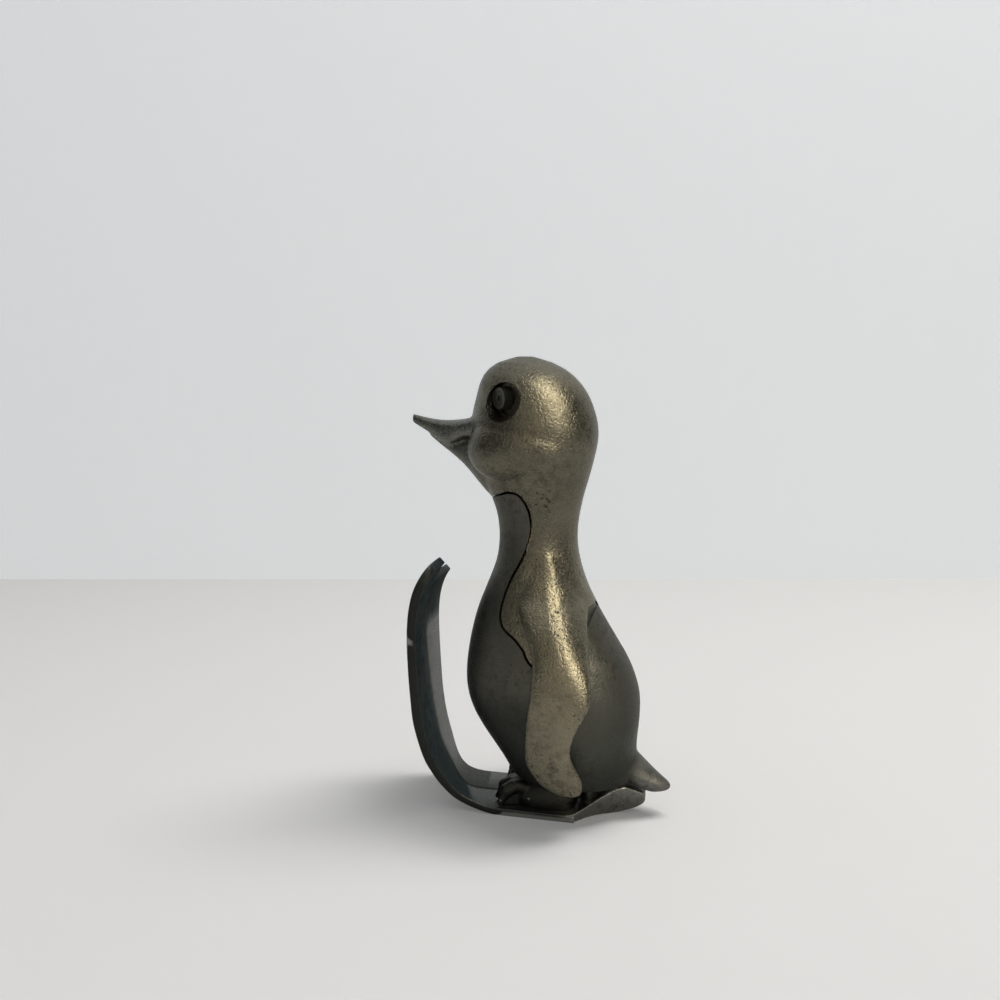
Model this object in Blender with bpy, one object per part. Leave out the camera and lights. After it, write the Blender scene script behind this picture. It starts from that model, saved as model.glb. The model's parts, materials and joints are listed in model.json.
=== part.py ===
"""Pewter penguin on skis: a table lighter whose head and flippers tip back over a burner.

The penguin looks along -X, stands on Z = 0 and is symmetric about Y = 0, so its left side is at -Y.
Lengths are in metres, written as millimetres times MM.
"""

import math

import bmesh
import bpy
from mathutils import Matrix, Vector

MM = 0.001


def millimetres(*values):
    """Give a row of millimetres as metres."""
    return tuple(value * MM for value in values)


# The outside of the figure from its underside to its crown.
# Each row is a level section: height, front, back and half width.
FIGURE_SECTIONS = {
    "underside": millimetres(6.5, -9.0, 14.4, 9.8),
    "thigh": millimetres(8.8, -10.2, 15.0, 10.8),
    "hip": millimetres(12.0, -12.4, 15.0, 12.3),
    "lower belly": millimetres(17.0, -15.7, 15.3, 13.6),
    "belly": millimetres(23.6, -18.5, 15.4, 14.2),
    "upper belly": millimetres(30.0, -18.4, 13.1, 13.5),
    "chest": millimetres(36.5, -17.2, 9.4, 11.9),
    "shoulder": millimetres(42.8, -15.1, 5.8, 9.7),
    "lower neck": millimetres(48.5, -12.6, 3.6, 7.7),
    "neck": millimetres(54.0, -12.1, 3.0, 7.1),
    "throat": millimetres(58.5, -12.7, 3.4, 7.4),
    "chin": millimetres(62.5, -14.4, 4.3, 8.4),
    "jaw": millimetres(67.0, -16.2, 5.5, 9.7),
    "cheek": millimetres(73.0, -17.3, 6.7, 10.4),
    "brow": millimetres(78.5, -17.1, 5.7, 10.1),
    "forehead": millimetres(82.5, -16.1, 3.7, 8.9),
    "upper crown": millimetres(85.8, -14.2, 0.3, 6.6),
    "crown": millimetres(87.5, -11.3, -3.2, 3.4),
    "top": millimetres(88.0, -8.8, -5.8, 1.2),
}
FIGURE_SPOKES = 26
INNER_SPOKES = 18

# The joint between the two castings: an arch about the pivot, its rounded shoulder (each point's
# depth below the arch and its angle), the seam down the neck (each point's place along X, and its
# height above the pivot as a share of the arch radius), and a lobe about the pivot.
PIVOT_X = 0.0 * MM
PIVOT_Z = 35.5 * MM
HEAD_TILT = 22.0
ARCH_RADIUS = 29.1 * MM
ARCH_START_ANGLE = 128.0
ARCH_END_ANGLE = 108.0
ARCH_POINTS = 6
JOINT_GAP = 0.45 * MM
ARCH_SHOULDER = [(0.85 * MM, 104.1), (2.84 * MM, 101.9)]
SEAM_ALONG_NECK = [
    (-4.5 * MM, 0.8007),
    (-4.3 * MM, 0.6873),
    (-5.1 * MM, 0.5808),
    (-6.2 * MM, 0.4914),
    (-7.7 * MM, 0.3952),
    (-8.9 * MM, 0.2921),
    (-9.6 * MM, 0.189),
    (-9.5 * MM, 0.1203),
    (-8.4 * MM, 0.0687),
    (-6.4 * MM, 0.0241),
]
PIVOT_LOBE_RADIUS = 4.7 * MM
LOBE_START_ANGLE = 195.0
LOBE_END_ANGLE = 346.0
LOBE_POINTS = 6
LIP_X = 7.2 * MM
LIP_Z = 41.3 * MM
LIP_PROUD = 0.45 * MM
LIP_FADE_Z = 50.0 * MM
BACK_DROP = 0.4 * MM
BACK_DROP_START_Z = 31.0 * MM
BACK_DROP_FULL_Z = 37.5 * MM
SWEEP_CLEARANCE = 0.35 * MM
RELIEF_CLEARANCE = 0.28 * MM
RELIEF_STEPS = 2

# Walls of the castings.
HEAD_WALL = 1.2 * MM
BODY_WALL = 1.3 * MM
SHOULDER_RIM_Z = 46.0 * MM
SHOULDER_FOOT_Z = 30.0 * MM
HOLLOW_CEILING_Z = 86.0 * MM
PART_GAP = 0.3 * MM

# Bill: each row is a section square to X: place along X, top, bottom and half width.
BILL_SECTIONS = [
    millimetres(-14.0, 77.4, 64.0, 4.2),
    millimetres(-17.0, 76.6, 65.4, 4.2),
    millimetres(-19.5, 76.0, 67.5, 3.7),
    millimetres(-22.0, 75.8, 69.6, 3.0),
    millimetres(-25.0, 75.9, 72.0, 2.0),
    millimetres(-27.5, 76.2, 74.2, 1.1),
    millimetres(-29.1, 76.5, 75.9, 0.35),
]

# Flippers: height, front, back, inner face and outer face from the middle plane.
FLIPPER_SECTIONS = [
    millimetres(46.5, -4.6, 4.2, 6.2, 9.2),
    millimetres(42.0, -5.0, 6.3, 7.4, 12.0),
    millimetres(38.0, -3.3, 7.0, 9.0, 14.4),
    millimetres(34.5, -2.2, 7.6, 10.6, 15.9),
    millimetres(30.5, -2.3, 8.5, 14.1, 17.0),
    millimetres(27.0, -2.6, 8.7, 14.7, 17.4),
    millimetres(24.0, -2.9, 7.5, 14.8, 17.5),
    millimetres(21.0, -3.1, 5.8, 14.8, 17.4),
    millimetres(18.0, -3.3, 4.8, 14.6, 17.1),
    millimetres(15.0, -3.0, 5.2, 14.2, 16.6),
    millimetres(12.0, -2.1, 6.5, 13.6, 15.9),
    millimetres(10.0, -0.4, 6.9, 13.1, 15.2),
    millimetres(8.7, 2.4, 6.2, 12.9, 14.5),
]

# Eyes.
EYE_X = -9.6 * MM
EYE_Y = 9.1 * MM
EYE_Z = 79.9 * MM
EYE_TURN = 28.0
SOCKET_RADIUS = 3.6 * MM
SOCKET_DEPTH = 2.2 * MM
SOCKET_BACKING = 1.4 * MM
PUPIL_RADIUS = 2.1 * MM
PUPIL_HEIGHT = 1.7 * MM
PUPIL_SHIFT = 0.9 * MM
DIMPLE_RADIUS = 0.45 * MM

# Tail: place along X, top, bottom and half width.
TAIL_SECTIONS = [
    millimetres(11.0, 14.0, 6.8, 5.0),
    millimetres(14.8, 12.4, 5.8, 4.0),
    millimetres(17.6, 9.5, 4.6, 2.8),
    millimetres(19.8, 7.4, 4.7, 1.7),
    millimetres(21.0, 6.3, 5.3, 0.7),
]

# Pivot pins.
PIN_RADIUS = 0.9 * MM
PIN_HEAD_RADIUS = 1.7 * MM
PIN_HEAD_LENGTH = 0.8 * MM
PIN_REACH = 14.2 * MM
PIVOT_BOSS_RADIUS = 2.8 * MM
PIVOT_BOSS_FACE = 7.4 * MM

# Base plate, its screws and the rivets.
# Each screw: place along X and Y, and how far its boss runs on to meet the body's wall.
PLATE_THICKNESS = 1.2 * MM
PLATE_RECESS = 0.3 * MM
BASE_SCREWS = {
    "back": millimetres(10.4, 0.0, 4.0, 0.0),
    "left": millimetres(2.7, -6.2, 0.0, -4.2),
    "right": millimetres(2.7, 6.2, 0.0, 4.2),
}
BASE_SCREW_RADIUS = 0.9 * MM
BASE_SCREW_HEAD_RADIUS = 1.5 * MM
BASE_SCREW_HEAD_LENGTH = 0.5 * MM
BASE_SCREW_LENGTH = 4.5 * MM
BASE_BOSS_RADIUS = 2.1 * MM
BASE_BOSS_HEIGHT = 6.0 * MM

# Skis: the path of the sole from the heel end to the tip, as X and Z.
SKI_SOLE_PATH = [
    millimetres(3.9, 0.0),
    millimetres(-4.0, 0.0),
    millimetres(-11.5, 0.0),
    millimetres(-17.3, 1.6),
    millimetres(-22.0, 5.0),
    millimetres(-25.9, 11.0),
    millimetres(-27.9, 18.0),
    millimetres(-28.7, 27.0),
    millimetres(-28.5, 36.5),
    millimetres(-27.0, 43.8),
    millimetres(-23.0, 50.4),
]
SKI_THICKNESS = 1.3 * MM
SKI_WIDTH = 8.5 * MM
SKI_PARTING = 0.4 * MM
SKI_TIP_LENGTH = 6.0 * MM
SKI_STEPS = 3

# Feet.
FOOT_Y = 4.4 * MM
ANKLE_X = -3.8 * MM
ANKLE_RADIUS = 2.5 * MM
TOE_LENGTH = 8.2 * MM
TOE_ROOT_RADIUS = 1.5 * MM
TOE_TIP_RADIUS = 0.75 * MM
TOE_FAN_ANGLES = [-20.0, 0.0, 20.0]
TOE_DROP = 1.2 * MM
TOE_ROOT_Z = 3.5 * MM
RIVET_RADIUS = 0.8 * MM
RIVET_HEAD_RADIUS = 1.5 * MM
RIVET_HEAD_LENGTH = 0.5 * MM

# Heel block: place along X, half width, bottom and top.
HEEL_SECTIONS = [
    millimetres(4.2, 8.7, 0.0, 1.5),
    millimetres(7.0, 6.6, 0.0, 2.6),
    millimetres(10.0, 4.2, 0.0, 4.3),
    millimetres(12.5, 2.6, 0.3, 5.0),
    millimetres(15.0, 1.6, 1.2, 4.6),
    millimetres(16.8, 0.9, 2.0, 3.7),
]
HEEL_PEDESTAL_RADIUS = 2.1 * MM
HEEL_SCREW_X = 6.4 * MM
HEEL_SCREW_RADIUS = 0.9 * MM
HEEL_SCREW_HEAD_RADIUS = 1.6 * MM
HEEL_SCREW_HEAD_LENGTH = 0.8 * MM

# The lighter insert. It stands as high as the arch of the joint lets it.
INSERT_X = -5.9 * MM
CAN_RADIUS = 4.2 * MM
CAN_WALL = 0.5 * MM
CAN_FOOT_Z = 13.0 * MM
CAN_TOP_BELOW_ARCH = 7.4 * MM
CAN_TOP_Z = PIVOT_Z + ARCH_RADIUS - CAN_TOP_BELOW_ARCH
DISC_THICKNESS = 0.8 * MM
SHELF_THICKNESS = 1.3 * MM
SHELF_REACH = 11.0 * MM
SHELF_END_X = -0.5 * MM
SHELF_BORE = 3.6 * MM
CLIP_THICKNESS = 0.3 * MM
CLIP_HEIGHT = 3.0 * MM
CLIP_Z = CAN_TOP_Z - 7.2 * MM
CLIP_OPENING = 100.0
WICK_X = -8.1 * MM
WICK_RADIUS = 0.75 * MM
WICK_TUBE_RADIUS = 1.3 * MM
WICK_TUBE_TOP_Z = CAN_TOP_Z + 4.5 * MM
WICK_TOP_Z = WICK_TUBE_TOP_Z + 0.2 * MM
WICK_FOOT_Z = 30.0 * MM
WHEEL_X = -3.9 * MM
WHEEL_Z = CAN_TOP_Z + 3.1 * MM
WHEEL_RADIUS = 1.8 * MM
WHEEL_WIDTH = 2.4 * MM
WHEEL_TEETH = 24
WHEEL_TOOTH_DEPTH = 0.2 * MM
AXLE_RADIUS = 0.4 * MM
EAR_THICKNESS = 0.7 * MM
EAR_RADIUS = 1.3 * MM
FLINT_TUBE_RADIUS = 1.3 * MM
FLINT_BORE = 1.0 * MM
FLINT_RADIUS = 0.7 * MM
FLINT_LENGTH = 3.0 * MM
SPRING_LENGTH = 14.0 * MM
SPRING_TURNS = 11
SPRING_WIRE = 0.15 * MM
SCREW_HEAD_RADIUS = 1.2 * MM
SCREW_HEAD_LENGTH = 0.8 * MM
FILLER_X = -8.1 * MM
FILLER_RADIUS = 0.8 * MM
FILLER_LENGTH = 2.4 * MM
COTTON_RADIUS = 3.4 * MM
COTTON_FOOT_Z = 17.0 * MM
COTTON_TOP_Z = CAN_TOP_Z - 3.2 * MM

# Leaves inside the head.
POST_X = -4.0 * MM
POST_RADIUS = 1.5 * MM
POST_FOOT_Z = CAN_TOP_Z + 17.4 * MM
LEAF_THICKNESS = 0.4 * MM
LEAF_WIDTH = 2.4 * MM
LEAF_LAND = 1.6 * MM
SNUFFER_RADIUS = 1.8 * MM
SNUFFER_THICKNESS = 0.9 * MM
SNUFFER_BEND_X = -9.6 * MM
PAWL_BEND_X = 0.6 * MM
PAWL_ELBOW_Z = CAN_TOP_Z + 8.8 * MM
PAWL_ANGLE = 50.0
HEAD_SCREW_RADIUS = 0.6 * MM
HEAD_SCREW_HEAD_RADIUS = 1.1 * MM
HEAD_SCREW_HEAD_LENGTH = 0.7 * MM
HEAD_SCREW_REACH = 3.0 * MM

HEAD_PIECES = [
    "head_casting",
    "left_eye_stud",
    "right_eye_stud",
    "striker_pawl",
    "snuffer_arm",
    "snuffer_pad",
    "head_screw",
]

FAR = 60.0 * MM
ACROSS = 40.0 * MM


def clear_scene():
    """Remove every object of the file."""
    for thing in list(bpy.data.objects):
        bpy.data.objects.remove(thing, do_unlink=True)


def new_collection(name):
    """Make a collection in the scene."""
    collection = bpy.data.collections.new(name)
    bpy.context.scene.collection.children.link(collection)
    return collection


def metal(name, colour, roughness, metallic=1.0):
    """Make a plain Principled material."""
    material = bpy.data.materials.new(name)
    material.use_nodes = True
    shader = material.node_tree.nodes["Principled BSDF"]
    shader.inputs["Base Color"].default_value = (*colour, 1.0)
    shader.inputs["Roughness"].default_value = roughness
    shader.inputs["Metallic"].default_value = metallic
    return material


clear_scene()
PENGUIN = new_collection("penguin_lighter")
CUTTERS = new_collection("cutters")

PEWTER = metal("bronzed_pewter", (0.20, 0.17, 0.11), 0.38)
DARK_PEWTER = metal("dark_pewter", (0.09, 0.09, 0.08), 0.45)
SKI_METAL = metal("ski_pewter", (0.20, 0.21, 0.19), 0.42)
BRASS = metal("brass", (0.62, 0.45, 0.16), 0.30)
STEEL = metal("steel", (0.45, 0.45, 0.46), 0.30)
COTTON = metal("cotton", (0.80, 0.78, 0.72), 0.95, 0.0)
FLINT_GREY = metal("flint_grey", (0.10, 0.10, 0.11), 0.70, 0.2)
FELT = metal("pad_felt", (0.10, 0.09, 0.08), 0.90, 0.0)


def place(name, mesh_builder, material):
    """Turn a bmesh into a named part of the penguin."""
    mesh = bpy.data.meshes.new(name)
    bmesh.ops.recalc_face_normals(mesh_builder, faces=mesh_builder.faces[:])
    mesh_builder.to_mesh(mesh)
    mesh_builder.free()
    mesh.shade_smooth()
    mesh.set_sharp_from_angle(angle=math.radians(35.0))
    thing = bpy.data.objects.new(name, mesh)
    mesh.materials.append(material)
    PENGUIN.objects.link(thing)
    return thing


def as_tool(thing):
    """Move an object to the cutters, where it is only used by modifiers."""
    for collection in list(thing.users_collection):
        collection.objects.unlink(thing)
    CUTTERS.objects.link(thing)
    thing.hide_render = True
    thing.display_type = "WIRE"
    return thing


def combine(target, tool, operation):
    """Add a Boolean modifier to the target."""
    modifier = target.modifiers.new(f"{operation.lower()}_{tool.name}", "BOOLEAN")
    modifier.operation = operation
    modifier.solver = "EXACT"
    modifier.object = tool
    return target


def cut(target, *tools):
    """Cut tools out of the target."""
    for tool in tools:
        combine(target, tool, "DIFFERENCE")
    return target


def join(target, *tools):
    """Join tools to the target."""
    for tool in tools:
        combine(target, tool, "UNION")
    return target


def smooth_rows(rows, parameters, wanted):
    """Read a smooth curve through rows of numbers at one wanted parameter."""
    last = len(rows) - 1
    step = 0
    while step < last - 1 and wanted > parameters[step + 1]:
        step += 1

    def slope(index):
        before = max(index - 1, 0)
        after = min(index + 1, last)
        run = parameters[after] - parameters[before]
        return [(b - a) / run for a, b in zip(rows[before], rows[after])]

    run = parameters[step + 1] - parameters[step]
    t = (wanted - parameters[step]) / run
    start_weight = 2 * t**3 - 3 * t**2 + 1
    start_slope_weight = (t**3 - 2 * t**2 + t) * run
    end_weight = -2 * t**3 + 3 * t**2
    end_slope_weight = (t**3 - t**2) * run
    columns = zip(rows[step], slope(step), rows[step + 1], slope(step + 1))
    return [
        start_weight * a + start_slope_weight * sa + end_weight * b + end_slope_weight * sb
        for a, sa, b, sb in columns
    ]


def smooth_path(points, steps):
    """Give a smooth path through points, with some steps between each two."""
    parameters = list(range(len(points)))
    count = (len(points) - 1) * steps
    return [smooth_rows(points, parameters, index / steps) for index in range(count + 1)]


def loft(name, frames, spokes, material):
    """Bridge a row of circles, each turned into its section by a matrix."""
    form = bmesh.new()
    rings = []
    for index, frame in enumerate(frames):
        capped = index in (0, len(frames) - 1)
        ring = bmesh.ops.create_circle(form, cap_ends=capped, radius=1.0, segments=spokes)
        bmesh.ops.transform(form, matrix=frame, verts=ring["verts"])
        corners = set(ring["verts"])
        rings.append([edge for edge in form.edges if edge.verts[0] in corners])
    for lower, upper in zip(rings, rings[1:]):
        bmesh.ops.bridge_loops(form, edges=lower + upper)
    return place(name, form, material)


def level_frame(height, front, back, left, right):
    """Matrix that turns a unit circle into a level oval."""
    middle = Vector(((front + back) / 2, (left + right) / 2, height))
    return Matrix.Translation(middle) @ Matrix.Diagonal(
        ((back - front) / 2, (right - left) / 2, 1.0, 1.0)
    )


def upright_frame(place_x, top, bottom, half_width):
    """Matrix that turns a unit circle into an oval square to X."""
    middle = Vector((place_x, 0.0, (top + bottom) / 2))
    turn = Matrix.Rotation(math.radians(90.0), 4, "Y")
    size = Matrix.Diagonal(((top - bottom) / 2, half_width, 1.0, 1.0))
    return Matrix.Translation(middle) @ turn @ size


def figure_at(height):
    """Front, back and half width of the figure at a height."""
    sections = list(FIGURE_SECTIONS.values())
    heights = [section[0] for section in sections]
    return smooth_rows([section[1:] for section in sections], heights, height)


def figure_form(name, floor, ceiling, front=0.0, side=0.0, back=0.0, spokes=FIGURE_SPOKES):
    """Loft the figure between two heights, with its wall set in at front, side and back.

    The side and back insets may be functions of the height.
    """
    stations = [section[0] for section in FIGURE_SECTIONS.values()]
    heights = [floor] + [z for z in stations if floor < z < ceiling] + [ceiling]
    levels = [heights[0]]
    for low, high in zip(heights, heights[1:]):
        levels += [(low + high) / 2, high]
    frames = []
    for level in levels:
        front_x, back_x, half_width = figure_at(level)
        side_inset = side(level) if callable(side) else side
        back_inset = back(level) if callable(back) else back
        half = half_width - side_inset
        frames.append(level_frame(level, front_x + front, back_x - back_inset, -half, half))
    return loft(name, frames, spokes, PEWTER)


def ramp(value, start, end):
    """Go evenly from 0 at the start to 1 at the end."""
    return min(max((value - start) / (end - start), 0.0), 1.0)


def on_circle(radius, degrees):
    """Point of a circle about the pivot, in the side view."""
    angle = math.radians(degrees)
    return (PIVOT_X + radius * math.cos(angle), PIVOT_Z + radius * math.sin(angle))


def arc_about_pivot(radius, start, end, count):
    """Points of an arc about the pivot."""
    step = (end - start) / (count - 1)
    return [on_circle(radius, start + step * index) for index in range(count)]


def joint_outline(gap):
    """Side outline of the space of the head casting, grown towards the body by a gap."""
    arch = arc_about_pivot(ARCH_RADIUS, ARCH_START_ANGLE, ARCH_END_ANGLE, ARCH_POINTS)
    lobe = arc_about_pivot(PIVOT_LOBE_RADIUS, LOBE_START_ANGLE, LOBE_END_ANGLE, LOBE_POINTS)
    shoulder = [on_circle(ARCH_RADIUS - depth, angle) for depth, angle in ARCH_SHOULDER]
    seam = [(x, PIVOT_Z + share * ARCH_RADIUS) for x, share in SEAM_ALONG_NECK]
    neck = smooth_path([arch[-1]] + shoulder + seam + [lobe[0]], 2)
    line = arch + neck[1:-1] + lobe + [(LIP_X, LIP_Z), (FAR, LIP_Z + ARCH_RADIUS / 10)]
    grown = []
    for index, (x, z) in enumerate(line):
        before = line[max(index - 1, 0)]
        after = line[min(index + 1, len(line) - 1)]
        along = Vector((after[0] - before[0], after[1] - before[1])).normalized()
        grown.append((x + along.y * gap, z - along.x * gap))
    ceiling = FIGURE_SECTIONS["top"][0] + PART_GAP
    return grown + [(FAR, 2 * ceiling), (-FAR, 2 * ceiling), (-FAR, grown[0][1])]


def flat_outline(name, outline, thickness, matrix, material):
    """Make a plate from a filled flat curve."""
    curve = bpy.data.curves.new(name, "CURVE")
    curve.dimensions = "2D"
    curve.fill_mode = "BOTH"
    curve.extrude = thickness / 2
    spline = curve.splines.new("POLY")
    spline.points.add(len(outline) - 1)
    for point, (across, up) in zip(spline.points, outline):
        point.co = (across, up, 0.0, 1.0)
    spline.use_cyclic_u = True
    return mesh_from_curve(name, curve, matrix, material)


def mesh_from_curve(name, curve, matrix, material):
    """Replace a curve by a welded mesh object."""
    drawn = bpy.data.objects.new(f"{name}_curve", curve)
    PENGUIN.objects.link(drawn)
    bpy.context.view_layer.update()
    depsgraph = bpy.context.evaluated_depsgraph_get()
    mesh = bpy.data.meshes.new_from_object(drawn.evaluated_get(depsgraph))
    bpy.data.objects.remove(drawn, do_unlink=True)
    form = bmesh.new()
    form.from_mesh(mesh)
    bpy.data.meshes.remove(mesh)
    bmesh.ops.remove_doubles(form, verts=form.verts, dist=0.001 * MM)
    bmesh.ops.transform(form, matrix=matrix, verts=form.verts)
    return place(name, form, material)


SIDE_VIEW = Matrix.Rotation(math.radians(90.0), 4, "X")


def side_plate(name, outline, thickness, material, middle=0.0):
    """Make a plate from its outline in the side view."""
    matrix = Matrix.Translation((0.0, middle, 0.0)) @ SIDE_VIEW
    return flat_outline(name, outline, thickness, matrix, material)


def rod(name, radius, start, end, material, spokes=16, end_radius=None):
    """Make a cylinder or cone between two points."""
    start = Vector(start)
    axis = Vector(end) - start
    form = bmesh.new()
    bmesh.ops.create_cone(
        form,
        cap_ends=True,
        segments=spokes,
        radius1=radius,
        radius2=radius if end_radius is None else end_radius,
        depth=axis.length,
    )
    turn = axis.to_track_quat("Z", "Y").to_matrix().to_4x4()
    matrix = Matrix.Translation(start + axis / 2) @ turn
    bmesh.ops.transform(form, matrix=matrix, verts=form.verts)
    return place(name, form, material)


def upright_rod(name, radius, x, y, bottom, top, material, spokes=16):
    """Make an upright cylinder."""
    return rod(name, radius, (x, y, bottom), (x, y, top), material, spokes)


def turned(name, profile, x, y, material, steps=16):
    """Turn a closed profile of radius and height about an upright axis."""
    form = bmesh.new()
    corners = [form.verts.new((radius, 0.0, height)) for radius, height in profile]
    for a, b in zip(corners, corners[1:] + corners[:1]):
        form.edges.new((a, b))
    bmesh.ops.spin(
        form,
        geom=form.verts[:] + form.edges[:],
        cent=(0.0, 0.0, 0.0),
        axis=(0.0, 0.0, 1.0),
        angle=math.tau,
        steps=steps,
        use_merge=True,
    )
    bmesh.ops.remove_doubles(form, verts=form.verts, dist=0.001 * MM)
    bmesh.ops.transform(form, matrix=Matrix.Translation((x, y, 0.0)), verts=form.verts)
    return place(name, form, material)


def tilt_about_pivot(degrees):
    """Matrix of a turn about the head's hinge."""
    centre = Vector((PIVOT_X, 0.0, PIVOT_Z))
    turn = Matrix.Rotation(math.radians(degrees), 4, "Y")
    return Matrix.Translation(centre) @ turn @ Matrix.Translation(-centre)


def back_drop(height):
    """How far the body's back lies under the head casting's rear lip."""
    return BACK_DROP * ramp(height, BACK_DROP_START_Z, BACK_DROP_FULL_Z)


def nape_wall(height):
    """Thickness of the head casting's wall at the nape: it thins out to the lip."""
    return HEAD_WALL * ramp(height, LIP_Z, LIP_FADE_Z)


def body_envelope(name, clearance):
    """Outside of the body casting, grown by a clearance."""
    form = figure_form(
        name,
        FIGURE_SECTIONS["underside"][0],
        FIGURE_SECTIONS["cheek"][0],
        front=-clearance,
        side=-clearance,
        back=lambda height: back_drop(height) - clearance,
    )
    outline = joint_outline(JOINT_GAP - clearance)
    head_space = side_plate(f"{name}_head_space", outline, 2 * ACROSS, PEWTER)
    covered = HEAD_WALL + SWEEP_CLEARANCE - clearance
    shoulders = figure_form(
        f"{name}_shoulders",
        SHOULDER_FOOT_Z,
        SHOULDER_RIM_Z + clearance,
        front=covered,
        side=covered,
        back=lambda height: shoulder_drop(height) - clearance,
        spokes=INNER_SPOKES,
    )
    cut(form, as_tool(head_space))
    return join(form, as_tool(shoulders))


def shoulder_drop(height):
    """How far the back of the body's inner shoulders lies inside the figure."""
    return max(BACK_DROP + PART_GAP / 2, nape_wall(height) + SWEEP_CLEARANCE)


def body_side_wall(height):
    """Wall at the side of the body, with the step in under the head casting's shoulders."""
    covered = HEAD_WALL + SWEEP_CLEARANCE
    under_head = ramp(height, SHOULDER_FOOT_Z - BODY_WALL, SHOULDER_FOOT_Z + BODY_WALL)
    above_rim = ramp(height, SHOULDER_RIM_Z, SHOULDER_RIM_Z + BODY_WALL)
    return BODY_WALL + covered * (under_head - above_rim)


def base_screw_boss(word, x, y, reach_x, reach_y, bottom):
    """Oval boss for a base screw, running on into the body's wall."""
    frames = []
    for height in (bottom, bottom + BASE_BOSS_HEIGHT):
        front = x - BASE_BOSS_RADIUS + min(reach_x, 0.0)
        back = x + BASE_BOSS_RADIUS + max(reach_x, 0.0)
        left = y - BASE_BOSS_RADIUS + min(reach_y, 0.0)
        right = y + BASE_BOSS_RADIUS + max(reach_y, 0.0)
        frames.append(level_frame(height, front, back, left, right))
    return loft(f"{word}_base_boss", frames, 14, PEWTER)


def build_body_casting():
    """Throat tongue, chest, belly, back and tail."""
    body = body_envelope("body_casting", 0.0)
    tail = loft("tail", [upright_frame(*row) for row in TAIL_SECTIONS], 16, PEWTER)
    underside = FIGURE_SECTIONS["underside"][0]
    hollow = figure_form(
        "body_hollow",
        underside + BODY_WALL / 2,
        FIGURE_SECTIONS["cheek"][0],
        front=BODY_WALL,
        side=body_side_wall,
        back=lambda height: BODY_WALL + back_drop(height) + nape_wall(height),
        spokes=INNER_SPOKES,
    )
    front, back, half = figure_at(underside)
    mouth_frames = [
        level_frame(z, front + BODY_WALL, back - BODY_WALL, BODY_WALL - half, half - BODY_WALL)
        for z in (underside - BODY_WALL, underside + BODY_WALL)
    ]
    mouth = loft("underside_mouth", mouth_frames, INNER_SPOKES, PEWTER)
    shelf_top = CAN_FOOT_Z - PART_GAP
    shelf_bottom = shelf_top - SHELF_THICKNESS
    shelf = upright_rod(
        "can_shelf", SHELF_REACH, SHELF_END_X - SHELF_REACH, 0.0, shelf_bottom, shelf_top, PEWTER, 24
    )
    shelf_bore = upright_rod(
        "shelf_bore",
        SHELF_BORE,
        INSERT_X,
        0.0,
        shelf_bottom - PART_GAP,
        shelf_top + PART_GAP,
        PEWTER,
        20,
    )
    cut(hollow, as_tool(shelf))
    plate_top = underside + PLATE_RECESS + PLATE_THICKNESS
    bores = [shelf_bore]
    for word, (x, y, reach_x, reach_y) in BASE_SCREWS.items():
        boss_foot = plate_top + PART_GAP
        cut(hollow, as_tool(base_screw_boss(word, x, y, reach_x, reach_y, boss_foot)))
        bore_top = plate_top + BASE_SCREW_LENGTH
        bore_radius = BASE_SCREW_RADIUS + PART_GAP
        bores.append(upright_rod(f"{word}_base_bore", bore_radius, x, y, 0.0, bore_top, PEWTER, 12))
    for side, word in ((-1, "left"), (1, "right")):
        boss = rod(
            f"{word}_pivot_boss",
            PIVOT_BOSS_RADIUS,
            (PIVOT_X, side * PIVOT_BOSS_FACE, PIVOT_Z),
            (PIVOT_X, side * ACROSS, PIVOT_Z),
            PEWTER,
            20,
        )
        cut(hollow, as_tool(boss))
    bores.append(
        rod(
            "pin_bore",
            PIN_RADIUS + PART_GAP,
            (PIVOT_X, -ACROSS, PIVOT_Z),
            (PIVOT_X, ACROSS, PIVOT_Z),
            PEWTER,
            12,
        )
    )
    join(body, as_tool(tail))
    cut(body, as_tool(hollow), as_tool(mouth))
    for bore in bores:
        cut(body, as_tool(bore))
    return body


def eye_frame(side):
    """Matrix of an eye: Z points out of the head."""
    turn = math.radians(EYE_TURN)
    outward = Vector((-math.sin(turn), side * math.cos(turn), 0.0))
    upward = Vector((0.0, 0.0, 1.0))
    across = upward.cross(outward)
    frame = Matrix((across, upward, outward)).transposed().to_4x4()
    return Matrix.Translation((EYE_X, side * EYE_Y, EYE_Z)) @ frame


def eye_rod(name, side, radius, bottom, top, forward=0.0, end_radius=None):
    """Make a cylinder along the axis of an eye, shifted forward in its socket."""
    frame = eye_frame(side)
    shift = side * forward
    start = frame @ Vector((shift, 0.0, bottom))
    end = frame @ Vector((shift, 0.0, top))
    return rod(name, radius, start, end, PEWTER, 20, end_radius)


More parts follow.
